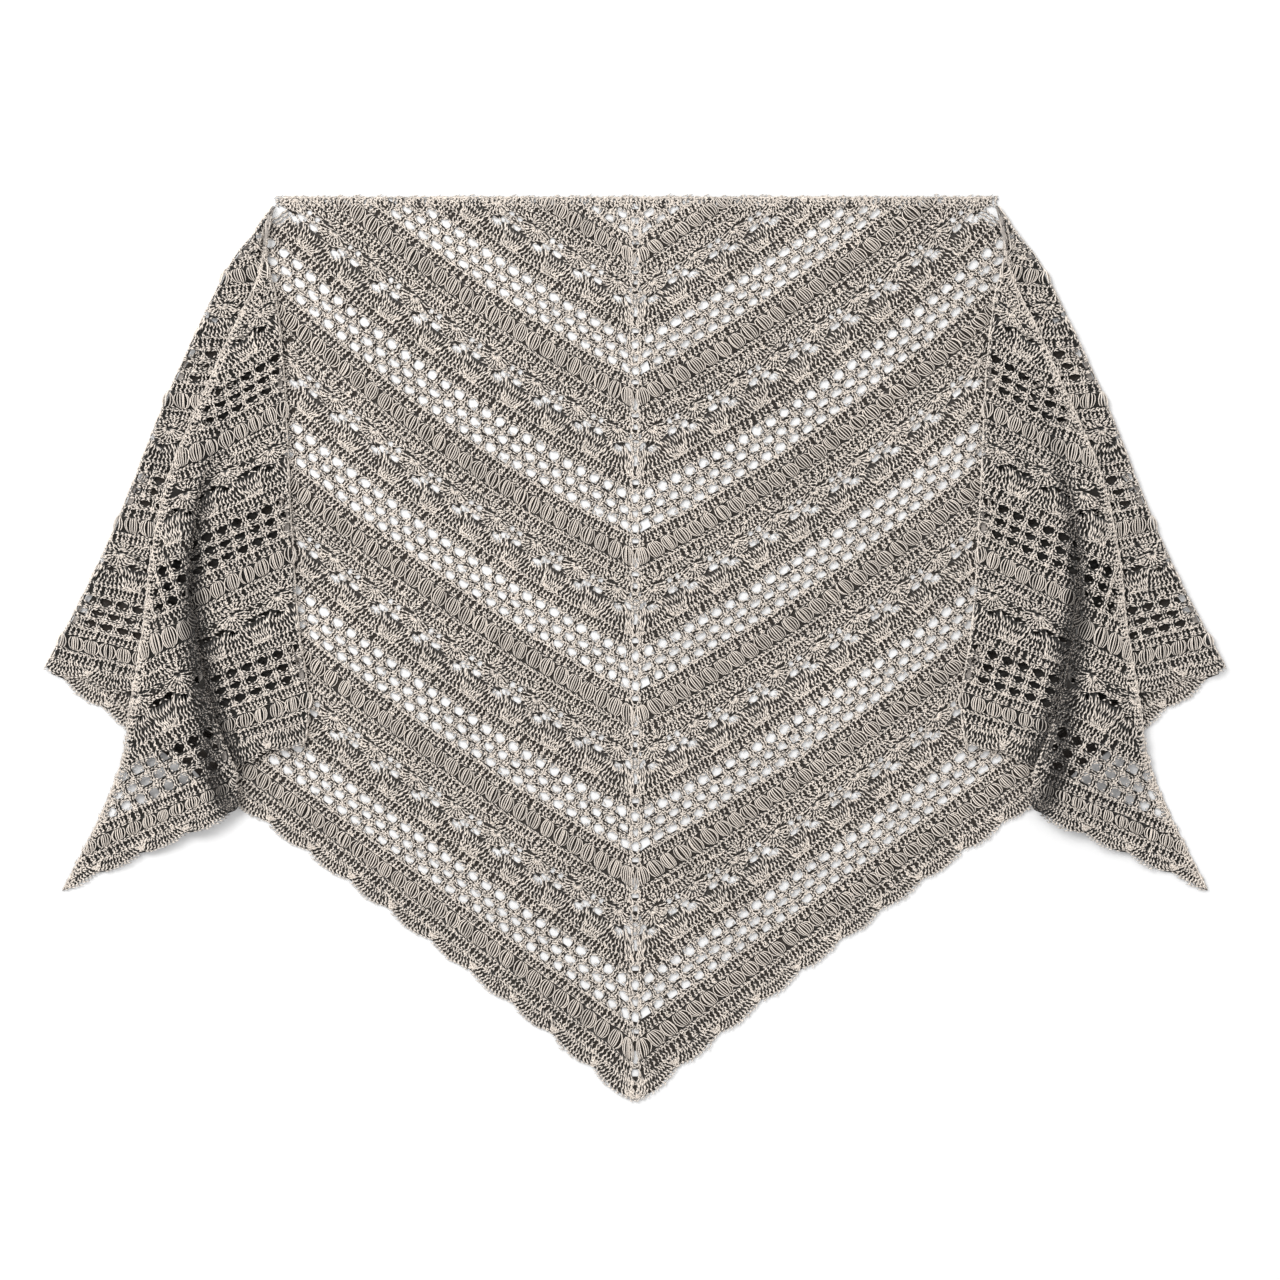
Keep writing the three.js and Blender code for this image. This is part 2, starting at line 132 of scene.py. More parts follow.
MID_OUT, FAR_OUT = 125.0, 290.0


def column_at(column: str, line: np.ndarray) -> np.ndarray:
    """Read a column of the course table at any line number, whole or not."""
    return np.interp(line, COURSES[:, 0], COURSES[:, COURSE_COLUMNS.index(column)])


def course_y(line: np.ndarray, out: np.ndarray) -> np.ndarray:
    """Give the height in plan of a course.

    Args:
        line: Course numbers.
        out: Distances from the spine.

    Returns:
        The y of each place, in millimetres.
    """
    reach = np.minimum(out, FAR_OUT)
    spine = column_at("spine", line)
    mid = column_at("mid", line) - spine
    far = column_at("far", line) - spine
    bow = (far / FAR_OUT - mid / MID_OUT) / (FAR_OUT - MID_OUT)
    return TOP - (spine + reach * (mid / MID_OUT + bow * (reach - MID_OUT))) + SLANT * out


def smooth(share: np.ndarray) -> np.ndarray:
    """Ease from 0 to 1 as the share goes from 0 to 1."""
    t = np.clip(share, 0.0, 1.0)
    return t * t * (3.0 - 2.0 * t)


@dataclass
class Guide:
    """A smooth line through a few points of the plan, measured by distance along it.

    Attributes:
        points: The points that it passes, as (out, y).
        samples: Points of the curve from each of them to the next.
        line: The points of the curve.
        run: Their distances from its start.
    """

    points: tuple[tuple[float, float], ...]
    samples: int = 60
    line: np.ndarray = field(init=False)
    run: np.ndarray = field(init=False)

    def __post_init__(self) -> None:
        """Sample the curve closely, so that a distance can be looked up."""
        p = np.array(self.points, dtype=float)
        last = len(p) - 1
        t = np.linspace(0.0, last, self.samples * last + 1)
        i = np.minimum(t.astype(int), last - 1)
        w = (t - i)[:, None]
        before, start, end, after = (p[np.clip(i + k, 0, last)] for k in (-1, 0, 1, 2))
        v0, v1 = (end - before) / 2, (after - start) / 2
        self.line = ((2 * start - 2 * end + v0 + v1) * w ** 3
                     + (-3 * start + 3 * end - 2 * v0 - v1) * w ** 2 + v0 * w + start)
        steps = np.linalg.norm(np.diff(self.line, axis=0), axis=1)
        self.run = np.concatenate(([0.0], np.cumsum(steps)))

    def at(self, distance: float) -> np.ndarray:
        """Give the point at a distance from the start, straight on past the end."""
        past = max(distance - self.run[-1], 0.0)
        last = (self.line[-1] - self.line[-2]) / (self.run[-1] - self.run[-2])
        point = [np.interp(distance, self.run, self.line[:, k]) for k in (0, 1)]
        return np.array(point) + past * last

    def way(self, distance: float) -> np.ndarray:
        """Give the unit tangent at a distance from the start."""
        d = min(max(distance, 0.5), self.run[-1] - 0.5)
        step = self.at(d + 0.5) - self.at(d - 0.5)
        return step / np.linalg.norm(step)


OUTER_FOLD = Guide(((299, 372), (318, 345), (340, 314), (386, 217), (440, 84), (491, -16)))
INNER_FOLD = Guide(((301, 364), (305, 324), (298, 296), (291, 236), (286, 134), (280, 34),
                    (270, -40), (274, -80)))
TOP_EDGE = Guide(((299, 369), (305, 341), (314, 305), (331, 271), (361, 206), (386, 146),
                  (401, 80), (408, 17), (419, -47), (424, -85), (443, -135), (476, -200)))
TUCK = Guide(((302, 358), (305, 335), (311, 305), (328, 241), (349, 175), (364, 117), (370, 62),
              (369, 36), (362, -3), (353, -47), (341, -82), (330, -107), (328, -134)))


def inside(polygon: np.ndarray, x: np.ndarray, y: np.ndarray, margin: float) -> np.ndarray:
    """Tell which points lie inside an outline of the plan, by more than a margin.

    Args:
        polygon: Corners of the outline.
        x: Distances of the points from the spine.
        y: Heights of the points in plan.
        margin: How far inside they must be, or below 0 how far outside they may be.

    Returns:
        True for each point inside.
    """
    x0, y0 = polygon[:, 0], polygon[:, 1]
    x1, y1 = np.roll(x0, -1), np.roll(y0, -1)
    result = np.full(x.shape, margin >= 0)
    for dx, dy in ((1, 0), (-1, 0), (0, 1), (0, -1)):
        px, py = x + dx * abs(margin), y + dy * abs(margin)
        crosses = (y0[:, None] > py) != (y1[:, None] > py)
        slope = (x1 - x0)[:, None] * (py - y0[:, None]) / (y1 - y0 + TINY)[:, None]
        odd = (crosses & (px < slope + x0[:, None])).sum(axis=0) % 2 == 1
        result = result & odd if margin >= 0 else result | odd
    return result


REACH_LINES = np.linspace(0.0, HEM_LINE + OVER_HEM, 250)


@dataclass
class Surface:
    """A stretch of the cloth, and how a place on it maps into the room.

    Attributes:
        mirrored: True on the left, where the stretch is the right one's mirror image.
        contrast: How strongly the painted shade darkens the yarn with its depth in the cloth.
    """

    mirrored: bool = False
    contrast: float = 1.15

    def place(self, run: np.ndarray, line: np.ndarray, height: np.ndarray) -> np.ndarray:
        """Map places on the cloth to points in the room, in millimetres."""
        raise NotImplementedError

    def normal(self, run: np.ndarray, line: np.ndarray) -> np.ndarray:
        """Give the way out of the cloth at places on it."""
        return self.place(run, line, np.ones_like(run)) - self.place(run, line, np.zeros_like(run))

    def end_run(self, line: np.ndarray) -> np.ndarray:
        """Give the run at which each course ends."""
        raise NotImplementedError

    def frame(self, run: np.ndarray, line: np.ndarray) -> tuple[np.ndarray, np.ndarray]:
        """Tell how the lines lie to the courses at places on the cloth.

        Args:
            run: Distances along the courses.
            line: Course numbers.

        Returns:
            How far along a course one has to go for each line down to stay square to it, and
            how many millimetres square to the course one line is.
        """
        flat = np.zeros_like(run)
        along = (self.place(run + PROBE_RUN, line, flat)
                 - self.place(run - PROBE_RUN, line, flat)) / (2 * PROBE_RUN)
        down = (self.place(run, line + PROBE_LINE, flat)
                - self.place(run, line - PROBE_LINE, flat)) / (2 * PROBE_LINE)
        lean = -(along * down).sum(axis=-1) / ((along ** 2).sum(axis=-1) + TINY)
        square = down + lean[..., None] * along
        return lean, np.maximum(np.linalg.norm(square, axis=-1), LEAST_SPAN)

    def within(self, run: np.ndarray, line: np.ndarray) -> np.ndarray:
        """Keep runs on the cloth."""
        return run

    def shaded(self, run: np.ndarray, line: np.ndarray) -> np.ndarray:
        """Tell how much painted shadow darkens places in a fold's hollow, as millimetres of depth.
        """
        return np.zeros(run.shape)

    def covered(self, run: np.ndarray, line: np.ndarray, margin: float) -> np.ndarray:
        """Tell which places another stretch hides, by more than a margin."""
        return np.zeros(run.shape, bool)


@dataclass
class PanelSurface(Surface):
    """The middle of the shawl, flat on the table. Its run is below 0 left of the spine.

    Attributes:
        reach: How far the courses reach, by line, once it has been measured.
    """

    reach: np.ndarray | None = None

    def place(self, run: np.ndarray, line: np.ndarray, height: np.ndarray) -> np.ndarray:
        """Map places on the panel to points in the room, in millimetres."""
        out = np.abs(run) / ALONG
        y = np.minimum(course_y(line, out), TOP - EDGE_LIMIT)
        short, long = RIPPLE_LENGTHS
        ripple = RIPPLE * np.sin(run / short) * np.sin(line * RIPPLE_TURN + run / long)
        return np.stack([np.sign(run) * out, y, REST_LEVEL + height + ripple], axis=-1)

    def frame(self, run: np.ndarray, line: np.ndarray) -> tuple[np.ndarray, np.ndarray]:
        """Tell how the lines lie to the courses, which turn evenly round the spine."""
        spine_room, spine_turn = 6.0, 22.0
        out = np.maximum(np.abs(run), spine_room) / ALONG
        slope = course_y(line, out + PROBE_OUT) - course_y(line, out - PROBE_OUT)
        slope = slope / (2 * PROBE_OUT)
        down = course_y(line + PROBE_LINE, out) - course_y(line - PROBE_LINE, out)
        down = down / (2 * PROBE_LINE)
        steep = 1.0 + slope ** 2
        lean = -np.sign(run) * slope * down * ALONG / steep
        span = np.maximum(np.abs(down) / np.sqrt(steep), LEAST_SPAN)
        return lean * smooth(np.abs(run) / spine_turn), span

    def end_run(self, line: np.ndarray) -> np.ndarray:
        """Give the run at which a course meets the top edge or the outer fold."""
        out = np.linspace(0.0, FARTHEST, 251)
        limit = np.empty(len(line))
        for i, value in enumerate(line):
            y = course_y(value, out)
            fold = np.interp(-y, -OUTER_FOLD.line[:, 1], OUTER_FOLD.line[:, 0])
            corner = OUTER_FOLD.at(float(column_at("outer", value)))
            across = np.linalg.norm(corner - INNER_FOLD.at(float(column_at("inner", value))))
            lip = min(FOLD_REACH, across / 3)
            stops = (y > TOP - EDGE_ROOM) | (out > fold - lip - END_ROOM)
            limit[i] = out[np.argmax(stops)] if stops.any() else FARTHEST
        return limit * ALONG

    def within(self, run: np.ndarray, line: np.ndarray) -> np.ndarray:
        """Keep runs clear of the fold, or of the top edge."""
        if self.reach is None:
            self.reach = self.end_run(REACH_LINES)
        limit = np.interp(line, REACH_LINES, self.reach) - STRAND_ROOM
        return np.clip(run, -limit, limit)

    def covered(self, run: np.ndarray, line: np.ndarray, margin: float) -> np.ndarray:
        """Tell which places on the panel the turned-over ends hide."""
        out = np.abs(run) / ALONG
        y = course_y(line, out)
        return inside(TURNED_OUTLINE, out, y, margin) | inside(END_OUTLINE, out, y, margin)


@dataclass
class TurnedSurface(Surface):
    """A stretch past a fold, held as a close grid of its middle points.

    Attributes:
        facing: 1 where the way down the lines and along the runs turns to the side that
            shows, else -1.
        lines: Line numbers of the grid's rows.
        step: Distance along a course between two of the grid's points.
        grid: The middle points.
        normals: The way out of the cloth at each.
        length: The run at which each row's course ends.
        turned: The run from which each row shows its front.
    """

    facing: int = 1
    lines: np.ndarray = field(
        default_factory=lambda: np.linspace(FOLD_LINE, HEM_LINE + OVER_HEM, 153))
    step: float = 1.5
    grid: np.ndarray = field(init=False)
    normals: np.ndarray = field(init=False)
    length: np.ndarray = field(init=False)
    turned: np.ndarray = field(init=False)

    def course(self, line: float) -> np.ndarray:
        """Give the middle points of one course."""
        raise NotImplementedError

    def __post_init__(self) -> None:
        """Lay the grid by even steps along each course."""
        courses = [self.course(float(line)) for line in self.lines]
        runs = [np.concatenate(([0.0], np.cumsum(np.linalg.norm(np.diff(c, axis=0), axis=1))))
                for c in courses]
        self.length = np.array([r[-1] for r in runs])
        at = np.arange(0.0, self.length.max() + self.step, self.step)
        self.grid = np.empty((len(courses), len(at), 3))
        for i, (points, run) in enumerate(zip(courses, runs)):
            past = np.maximum(at - run[-1], 0.0)[:, None]
            way = (points[-1] - points[-2]) / np.linalg.norm(points[-1] - points[-2])
            inner = np.stack([np.interp(at, run, points[:, k]) for k in range(3)], axis=-1)
            self.grid[i] = inner + past * way
        down = np.gradient(self.grid, axis=0)
        across = np.gradient(self.grid, axis=1)
        normals = np.cross(down, across) * self.facing
        self.normals = normals / np.linalg.norm(normals, axis=-1, keepdims=True)
        upright = self.normals[..., 2] > UPRIGHT
        self.turned = np.maximum(np.argmax(upright, axis=1) * self.step, END_ROOM)

    def within(self, run: np.ndarray, line: np.ndarray) -> np.ndarray:
        """Keep runs from where the fold has turned upright to the free end of their course."""
        start = np.interp(line, self.lines, self.turned)
        return np.clip(run, start, np.maximum(self.end_run(line) - END_ROOM, start))

    def _read(self, values: np.ndarray, run: np.ndarray, line: np.ndarray) -> np.ndarray:
        """Read a grid of values at places between its points."""
        edge = 1.001              # keeps the last place inside the last cell
        r = np.clip(run / self.step, 0.0, values.shape[1] - edge)
        spacing = self.lines[1] - self.lines[0]
        c = np.clip((line - self.lines[0]) / spacing, 0.0, len(self.lines) - edge)
        i, j = c.astype(int), r.astype(int)
        u, v = (c - i)[..., None], (r - j)[..., None]
        return ((1 - u) * (1 - v) * values[i, j] + (1 - u) * v * values[i, j + 1]
                + u * (1 - v) * values[i + 1, j] + u * v * values[i + 1, j + 1])

    def normal(self, run: np.ndarray, line: np.ndarray) -> np.ndarray:
        """Give the way out of the cloth at places on it."""
        n = self._read(self.normals, run, line)
        if self.mirrored:
            n = n * np.array([-1.0, 1.0, 1.0])
        return n / np.linalg.norm(n, axis=-1, keepdims=True)

    def place(self, run: np.ndarray, line: np.ndarray, height: np.ndarray) -> np.ndarray:
        """Map places on the stretch to points in the room, in millimetres."""
        p = self._read(self.grid, run, line)
        if self.mirrored:
            p = p * np.array([-1.0, 1.0, 1.0])
        return p + self.normal(run, line) * height[..., None]

    def end_run(self, line: np.ndarray) -> np.ndarray:
        """Give the run at which each course ends."""
        return np.interp(line, self.lines, self.length)


def fold_points(at: np.ndarray, way: np.ndarray, low: float, room: float) -> np.ndarray:
    """Give points round a fold, from the lip of the lower layer to the top of the bend.

    Args:
        at: The fold's outermost point in plan.
        way: Unit way in from the fold.
        low: Level of the middle of the lower layer.
        room: The furthest that a point may lie from the fold.

    Returns:
        An array of points.
    """
    angle = np.linspace(-math.pi / 2, math.pi / 2, 9)
    inward = np.concatenate(([FOLD_REACH], BEND + WALL / 2 - BEND * np.cos(angle)))
    z = np.concatenate(([low], low + BEND * (1 + np.sin(angle))))
    plan = at + np.minimum(inward, room)[:, None] * way
    return np.column_stack([plan, z])


def square_to(guide: Guide, distance: float, inward: int) -> np.ndarray:
    """Give the unit way off a guide, towards the spine if inward is 1 and away if -1."""
    way = guide.way(distance)
    return np.array([way[1], -way[0]]) * inward


def fold_loft(distance: np.ndarray, high: float, flat: float) -> np.ndarray:
    """Give how much higher than the flat layer the cloth is near a fold."""
    return (high - flat) * (1.0 - smooth(distance / LOFT))


def end_level(plan: np.ndarray) -> np.ndarray:
    """Give the level of the top layer over points of the plan.

    Args:
        plan: Points as (out, y).

    Returns:
        The level of the middle of the layer at each.
    """
    def ease(hem: np.ndarray) -> np.ndarray:
        """Ease from 1 on the near side of a hem to 0 past it."""
        return smooth((plan[:, 1] - hem + CARRY + SETTLE) / SETTLE)

    over_panel = ease(course_y(np.full(len(plan), HEM_LINE), plan[:, 0]))
    near, far = INNER_FOLD.line[-1], OUTER_FOLD.line[-1]
    share = (plan[:, 0] - near[0]) / (far[0] - near[0])
    over_turned = ease(near[1] + share * (far[1] - near[1]))
    step = WALL + LAYER_GAP
    return REST_LEVEL + step * over_panel + (END_LEVEL - TURNED_LEVEL) * over_turned * over_panel


@dataclass
class TurnedBack(TurnedSurface):
    """The stretch between the outer and the inner fold, wrong side up."""

    facing: int = -1

    def course(self, line: float) -> np.ndarray:
        """Give the middle points of one course, from its seam with the panel."""
        outer, inner = float(column_at("outer", line)), float(column_at("inner", line))
        a, b = OUTER_FOLD.at(outer), INNER_FOLD.at(inner)
        way_a, way_b = square_to(OUTER_FOLD, outer, 1), square_to(INNER_FOLD, inner, -1)
        room = np.linalg.norm(a - b) / 3
        start = a + way_a * min(BEND + WALL / 2, room)
        end = b + way_b * min(FOLD_REACH + SEAM, room)
        width = np.linalg.norm(end - start)
        distance = np.linspace(0.0, width, 40)[1:]
        plan = start + (end - start) * (distance / width)[:, None]
        level = TURNED_LEVEL + fold_loft(distance, REST_LEVEL + 2 * BEND, TURNED_LEVEL)
        return np.vstack([fold_points(a, way_a, REST_LEVEL, room), np.column_stack([plan, level])])

    def covered(self, run: np.ndarray, line: np.ndarray, margin: float) -> np.ndarray:
        """Tell which places the end hides."""
        p = self._read(self.grid, run, line)
        return inside(END_OUTLINE, p[..., 0].ravel(), p[..., 1].ravel(), margin).reshape(run.shape)


@dataclass
class TurnedEnd(TurnedSurface):
    """The stretch past the inner fold, right side up, with its tuck and the tip."""

    def shaded(self, run: np.ndarray, line: np.ndarray) -> np.ndarray:
        """Tell how much painted shadow darkens places in the hollow beside the tuck, as millimetres
        of depth.
        """
        p = self._read(self.grid, run, line)
        hollow = np.array([TUCK.at(float(column_at("valley", v))) for v in line])
        away = hollow[:, 0] - p[:, 0]
        deep = smooth((line - TUCK_STARTS) / (TUCK_FULL - TUCK_STARTS))
        return HOLLOW * deep * smooth(1.0 - np.abs(away - HOLLOW_MIDDLE) / HOLLOW_HALF)

    def course(self, line: float) -> np.ndarray:
        """Give the middle points of one course, from its seam with the turned-back stretch."""
        inner = float(column_at("inner", line))
        a, way = INNER_FOLD.at(inner), square_to(INNER_FOLD, inner, -1)
        valley = TUCK.at(float(column_at("valley", line)))
        tuck = TUCK.at(float(column_at("tuck", line)))
        edge = TOP_EDGE.at(float(column_at("edge", line)))
        room = np.linalg.norm(valley - a) / 3
        tip_width = np.linalg.norm(edge - tuck)
        start = a + way * min(BEND + WALL / 2, room)
        width = np.linalg.norm(valley - start)
        in_way, out_way = (valley - start) / width, (edge - tuck) / tip_width
        deep = float(smooth((line - TUCK_STARTS) / (TUCK_FULL - TUCK_STARTS)))
        rise = TUCK_RISE * deep
        reach = min(TUCK_REACH, room, tip_width / 3)
        flat_steps, bend_steps, slope_steps = 24, 25, 22
        distance = np.linspace(0.0, width - reach, flat_steps)[1:-1]
        flat = start + distance[:, None] * in_way
        flat_z = end_level(flat) + fold_loft(distance, TURNED_LEVEL + 2 * BEND, END_LEVEL)
        curl = reach * (FLAT_CURL + (TUCK_CURL - FLAT_CURL) * deep)
        low, high = valley - in_way * reach, tuck + out_way * reach
        t = np.linspace(0.0, 1.0, bend_steps)[:, None]
        bend = ((1 - t) ** 3 * low + 3 * (1 - t) ** 2 * t * (low + in_way * curl)
                + 3 * (1 - t) * t ** 2 * (high - out_way * curl) + t ** 3 * high)
        bend_rise = rise * (3 * (1 - t) * t ** 2 + t ** 3)[:, 0]
        share = np.linspace(0.0, 1.0, slope_steps)[1:]
        slope = tuck + (reach + (tip_width - reach) * share)[:, None] * out_way
        return np.vstack([
            fold_points(a, way, TURNED_LEVEL, room),
            np.column_stack([flat, flat_z]),
            np.column_stack([bend, end_level(bend) + bend_rise]),
            np.column_stack([slope, end_level(slope) + rise * (1 - smooth(share))]),
        ])


@dataclass
class PanelEdge(Surface):
    """The top edge of the panel. A line here is counted inwards from the edge, below 0."""

    def place(self, run: np.ndarray, line: np.ndarray, height: np.ndarray) -> np.ndarray:
        """Map places by the edge to points in the room, in millimetres."""
        return np.stack([-run, TOP + line * LINE_HEIGHT, REST_LEVEL + height], axis=-1)

    def end_run(self, line: np.ndarray) -> np.ndarray:
        """Give how far the edge reaches from the spine."""
        return np.full(len(line), EDGE_REACH)


@dataclass
class EndEdge(Surface):
    """The free edge of a turned-over end, from the fold at the top down to the tip.

    Attributes:
        end: The turned-over end.
        lines: Line numbers at which the edge is measured.
        runs: Distances along the edge at those lines.
    """

    end: TurnedEnd = field(default_factory=TurnedEnd)
    lines: np.ndarray = field(init=False)
    runs: np.ndarray = field(init=False)

    def __post_init__(self) -> None:
        """Measure the edge."""
        self.lines = np.linspace(FOLD_LINE + 0.1, HEM_LINE, 200)
        at = self.end.place(self.end.end_run(self.lines), self.lines, np.zeros(self.lines.shape))
        steps = np.linalg.norm(np.diff(at, axis=0), axis=1)
        self.runs = np.concatenate(([0.0], np.cumsum(steps)))

    def place(self, run: np.ndarray, line: np.ndarray, height: np.ndarray) -> np.ndarray:
        """Map places by the edge to points in the room, in millimetres."""
        course = np.interp(run, self.runs, self.lines)
        return self.end.place(self.end.end_run(course) + line * LINE_HEIGHT, course, height)

    def end_run(self, line: np.ndarray) -> np.ndarray:
        """Give the length of the edge."""
        return np.full(len(line), self.runs[-1])


def _end_outline() -> np.ndarray:
    """Draw the outline of a turned-over end in plan."""
    hem = [g.at(float(column_at(c, HEM_LINE))) for g, c in
           ((INNER_FOLD, "inner"), (TUCK, "valley"), (TUCK, "tuck"), (TOP_EDGE, "edge"))]
    return np.vstack([INNER_FOLD.line[::12], hem, TOP_EDGE.line[::-12]])


END_OUTLINE = _end_outline()
TURNED_OUTLINE = np.vstack([OUTER_FOLD.line[::12], INNER_FOLD.line[::-12]])


@dataclass
class YarnWork:
    """Strands of yarn on one stretch, gathered as places on it and then swept into one mesh.

    Each strand is a tube of three sides that comes to a point at both ends, where it dives
    into the stitch beside it.

    Attributes:
        surface: The stretch that it lies on.
        seed: Seed of its random draws.
        middle: Line number that the strands stand square to, which is set for each course.
        batches: The strands so far, as places, radii and tints.
        rng: The source of the random draws.
    """

    surface: Surface
    seed: int
    middle: float = 0.0
    batches: list[tuple[np.ndarray, np.ndarray, np.ndarray]] = field(default_factory=list)
    rng: np.random.Generator = field(init=False)

    def __post_init__(self) -> None:
        """Seed this stretch's own random draws."""
        self.rng = np.random.default_rng(self.seed)

    def add(self, run: np.ndarray, line: np.ndarray, height: np.ndarray,
            radius: float | np.ndarray = YARN, across: float | np.ndarray = 0.0) -> None:
        """Add strands with the same number of points.

        Args:
            run: (strands, points) distances along the courses.
            line: (strands, points) course numbers.
            height: (strands, points) heights out of the cloth.
            radius: Yarn radius, for all or for each point.
            across: Further distance down the cloth, square to the course, in millimetres.
        """
        run, line, height, across = np.broadcast_arrays(run, line, height, across)
        if not run.size:
            return
        lean, span = self.surface.frame(run.mean(axis=1), np.full(len(run), self.middle))
        line = line + across / span[:, None]
        run = self.surface.within(run + lean[:, None] * (line - self.middle), line)
        places = np.stack([run, line, height], axis=-1).astype(float)
        tint = self.rng.uniform(0.0, 1.0, len(places))
        self.batches.append((places, np.broadcast_to(radius, run.shape).astype(float), tint))

    def sweep(self, name: str, finish: bpy.types.Material) -> bpy.types.Object:
        """Sweep every strand into one mesh object.

        Args:
            name: Name of the new piece.
            finish: Its material.

        Returns:
            The piece, linked to the scene.
        """
        points, faces, shades, tints, uvs = [], [], [], [], []
        base = 0
        for places, radius, tint in self.batches:
            mesh = self._tubes(places, radius)
            count = mesh["points"].shape[1]
            strands = len(places)
            offset = base + np.arange(strands)[:, None, None] * count
            faces.append((mesh["faces"][None] + offset).reshape(-1, 3))
            points.append(mesh["points"].reshape(-1, 3))
            shades.append(mesh["shade"].ravel())
            tints.append(np.repeat(tint, count))
            uvs.append(mesh["uv"].reshape(-1, 2))
            base += strands * count
        return new_piece(name, np.vstack(points), np.vstack(faces), finish,
                         np.vstack(uvs), np.concatenate(shades), np.concatenate(tints),
                         self.surface.mirrored)

    def _tubes(self, places: np.ndarray, radius: np.ndarray) -> dict[str, np.ndarray]:
        """Sweep strands that have the same number of points.

        Args:
            places: (strands, points, 3) places as run, line and height.
            radius: (strands, points) radii.

        Returns:
            Arrays of points, faces, depths in the cloth that set the painted shade, and yarn
            coordinates.
        """
        run, line, height = places[..., 0], places[..., 1], places[..., 2]
        centre = self.surface.place(run, line, height)
        out = self.surface.normal(run, line)
        way = np.gradient(centre, axis=1)
        way /= np.linalg.norm(way, axis=-1, keepdims=True) + TINY
        side = np.cross(way, out)
        side /= np.linalg.norm(side, axis=-1, keepdims=True) + TINY
        up = np.cross(side, way)
        angle = math.pi / 2 + np.arange(SIDES) * 2 * math.pi / SIDES
        r = radius[:, 1:-1, None, None]
        ring = (centre[:, 1:-1, None] + r * np.cos(angle)[:, None] * side[:, 1:-1, None]
                + r * np.sin(angle)[:, None] * up[:, 1:-1, None])
        strands = len(places)
        points = np.concatenate([centre[:, :1], ring.reshape(strands, -1, 3), centre[:, -1:]],
                                axis=1)
        # Painted shade: a strand's crest is coloured lighter than its flanks, and its ends darker
        ring_height = (np.minimum(height, CREST)[:, 1:-1, None]
                       + radius[:, 1:-1, None] * np.sin(angle))
        depth = np.concatenate([height[:, :1] - TIP_SINK, ring_height.reshape(strands, -1),
                                height[:, -1:] - TIP_SINK], axis=1)
        steps = np.linalg.norm(np.diff(centre, axis=1), axis=-1)
        length = np.concatenate([np.zeros((strands, 1)), np.cumsum(steps, axis=1)], axis=1)
        u = np.concatenate([length[:, :1], np.repeat(length[:, 1:-1], SIDES, axis=1),
                            length[:, -1:]], axis=1)
        v = np.concatenate([[0.5], np.tile((np.arange(SIDES) + 0.5) / SIDES, ring.shape[1]), [0.5]])
        uv = np.stack([u, np.broadcast_to(v, u.shape)], axis=-1)
        # The painted shade's contrast, less the painted shadow of a fold's hollow
        depth = LIT_HEIGHT + (depth - LIT_HEIGHT) * self.surface.contrast
        depth = depth - self.surface.shaded(run.mean(axis=1), line.mean(axis=1))[:, None]
        return {"points": points, "faces": tube_faces(ring.shape[1]), "shade": depth, "uv": uv}


def tube_faces(rings: int) -> np.ndarray:
    """List the triangles of one closed strand with a number of rings."""
    faces = []
    last = 1 + SIDES * rings
    for k in range(SIDES):
        n = (k + 1) % SIDES
        faces.append((0, 1 + n, 1 + k))
        for i in range(rings - 1):
            a, b = 1 + SIDES * i, 1 + SIDES * (i + 1)
            faces.append((a + k, a + n, b + n))
            faces.append((a + k, b + n, b + k))
        faces.append((last - SIDES + k, last - SIDES + n, last))
    return np.array(faces)


def new_piece(name: str, points: np.ndarray, faces: np.ndarray, finish: bpy.types.Material,
              uv: np.ndarray, shade: np.ndarray, tint: np.ndarray,
              flipped: bool = False) -> bpy.types.Object:
    """Make a mesh object from arrays.

    Args:
        name: Name of the object and its mesh.
        points: Points in millimetres.
        faces: Triangles.
        finish: The material.
        uv: Yarn coordinates of each point.
        shade: Depth of each point in the cloth, which sets its painted shade.
        tint: A number from 0 to 1 for each point, which its strand shares.
        flipped: True where the triangles have to be turned over.

    Returns:
        The object, linked to the scene.
    """
    if flipped:
        faces = faces[:, ::-1]
    mesh = bpy.data.meshes.new(name)
    mesh.vertices.add(len(points))
    mesh.vertices.foreach_set("co", (points * MM).astype(np.float32).ravel())
    mesh.loops.add(faces.size)
    mesh.loops.foreach_set("vertex_index", faces.astype(np.int32).ravel())
    mesh.polygons.add(len(faces))
    mesh.polygons.foreach_set("loop_start", np.arange(0, faces.size, 3, dtype=np.int32))
    mesh.polygons.foreach_set("use_smooth", np.ones(len(faces), dtype=bool))
    mesh.update(calc_edges=True)
    layer = mesh.uv_layers.new(name="yarn")
    layer.data.foreach_set("uv", uv[faces.ravel()].astype(np.float32).ravel())
    for label, values in (("depth", shade), ("tint", tint)):
        mesh.attributes.new(label, "FLOAT", "POINT").data.foreach_set(
            "value", values.astype(np.float32))
    mesh.materials.append(finish)
    piece = bpy.data.objects.new(name, mesh)
    bpy.context.scene.collection.objects.link(piece)
    return piece


class Row(Enum):
    """The kinds of course that the shawl is worked in."""

    PUFFS = "puffs"
    PLAIN = "plain"
    GATHER = "gather"
    FAN = "fan"
    SHELL = "shell"
    MESH = "mesh"
    SCALLOP = "scallop"


@dataclass(frozen=True)
class Course:
    """One course of stitches.

    Attributes:
        kind: What is worked in it.
        start: Line number of its upper edge.
        end: Line number of its lower edge.
        shift: How far its pattern is moved along the course, in pitches.
    """

    kind: Row
    start: float
    end: float
    shift: float = 0.0


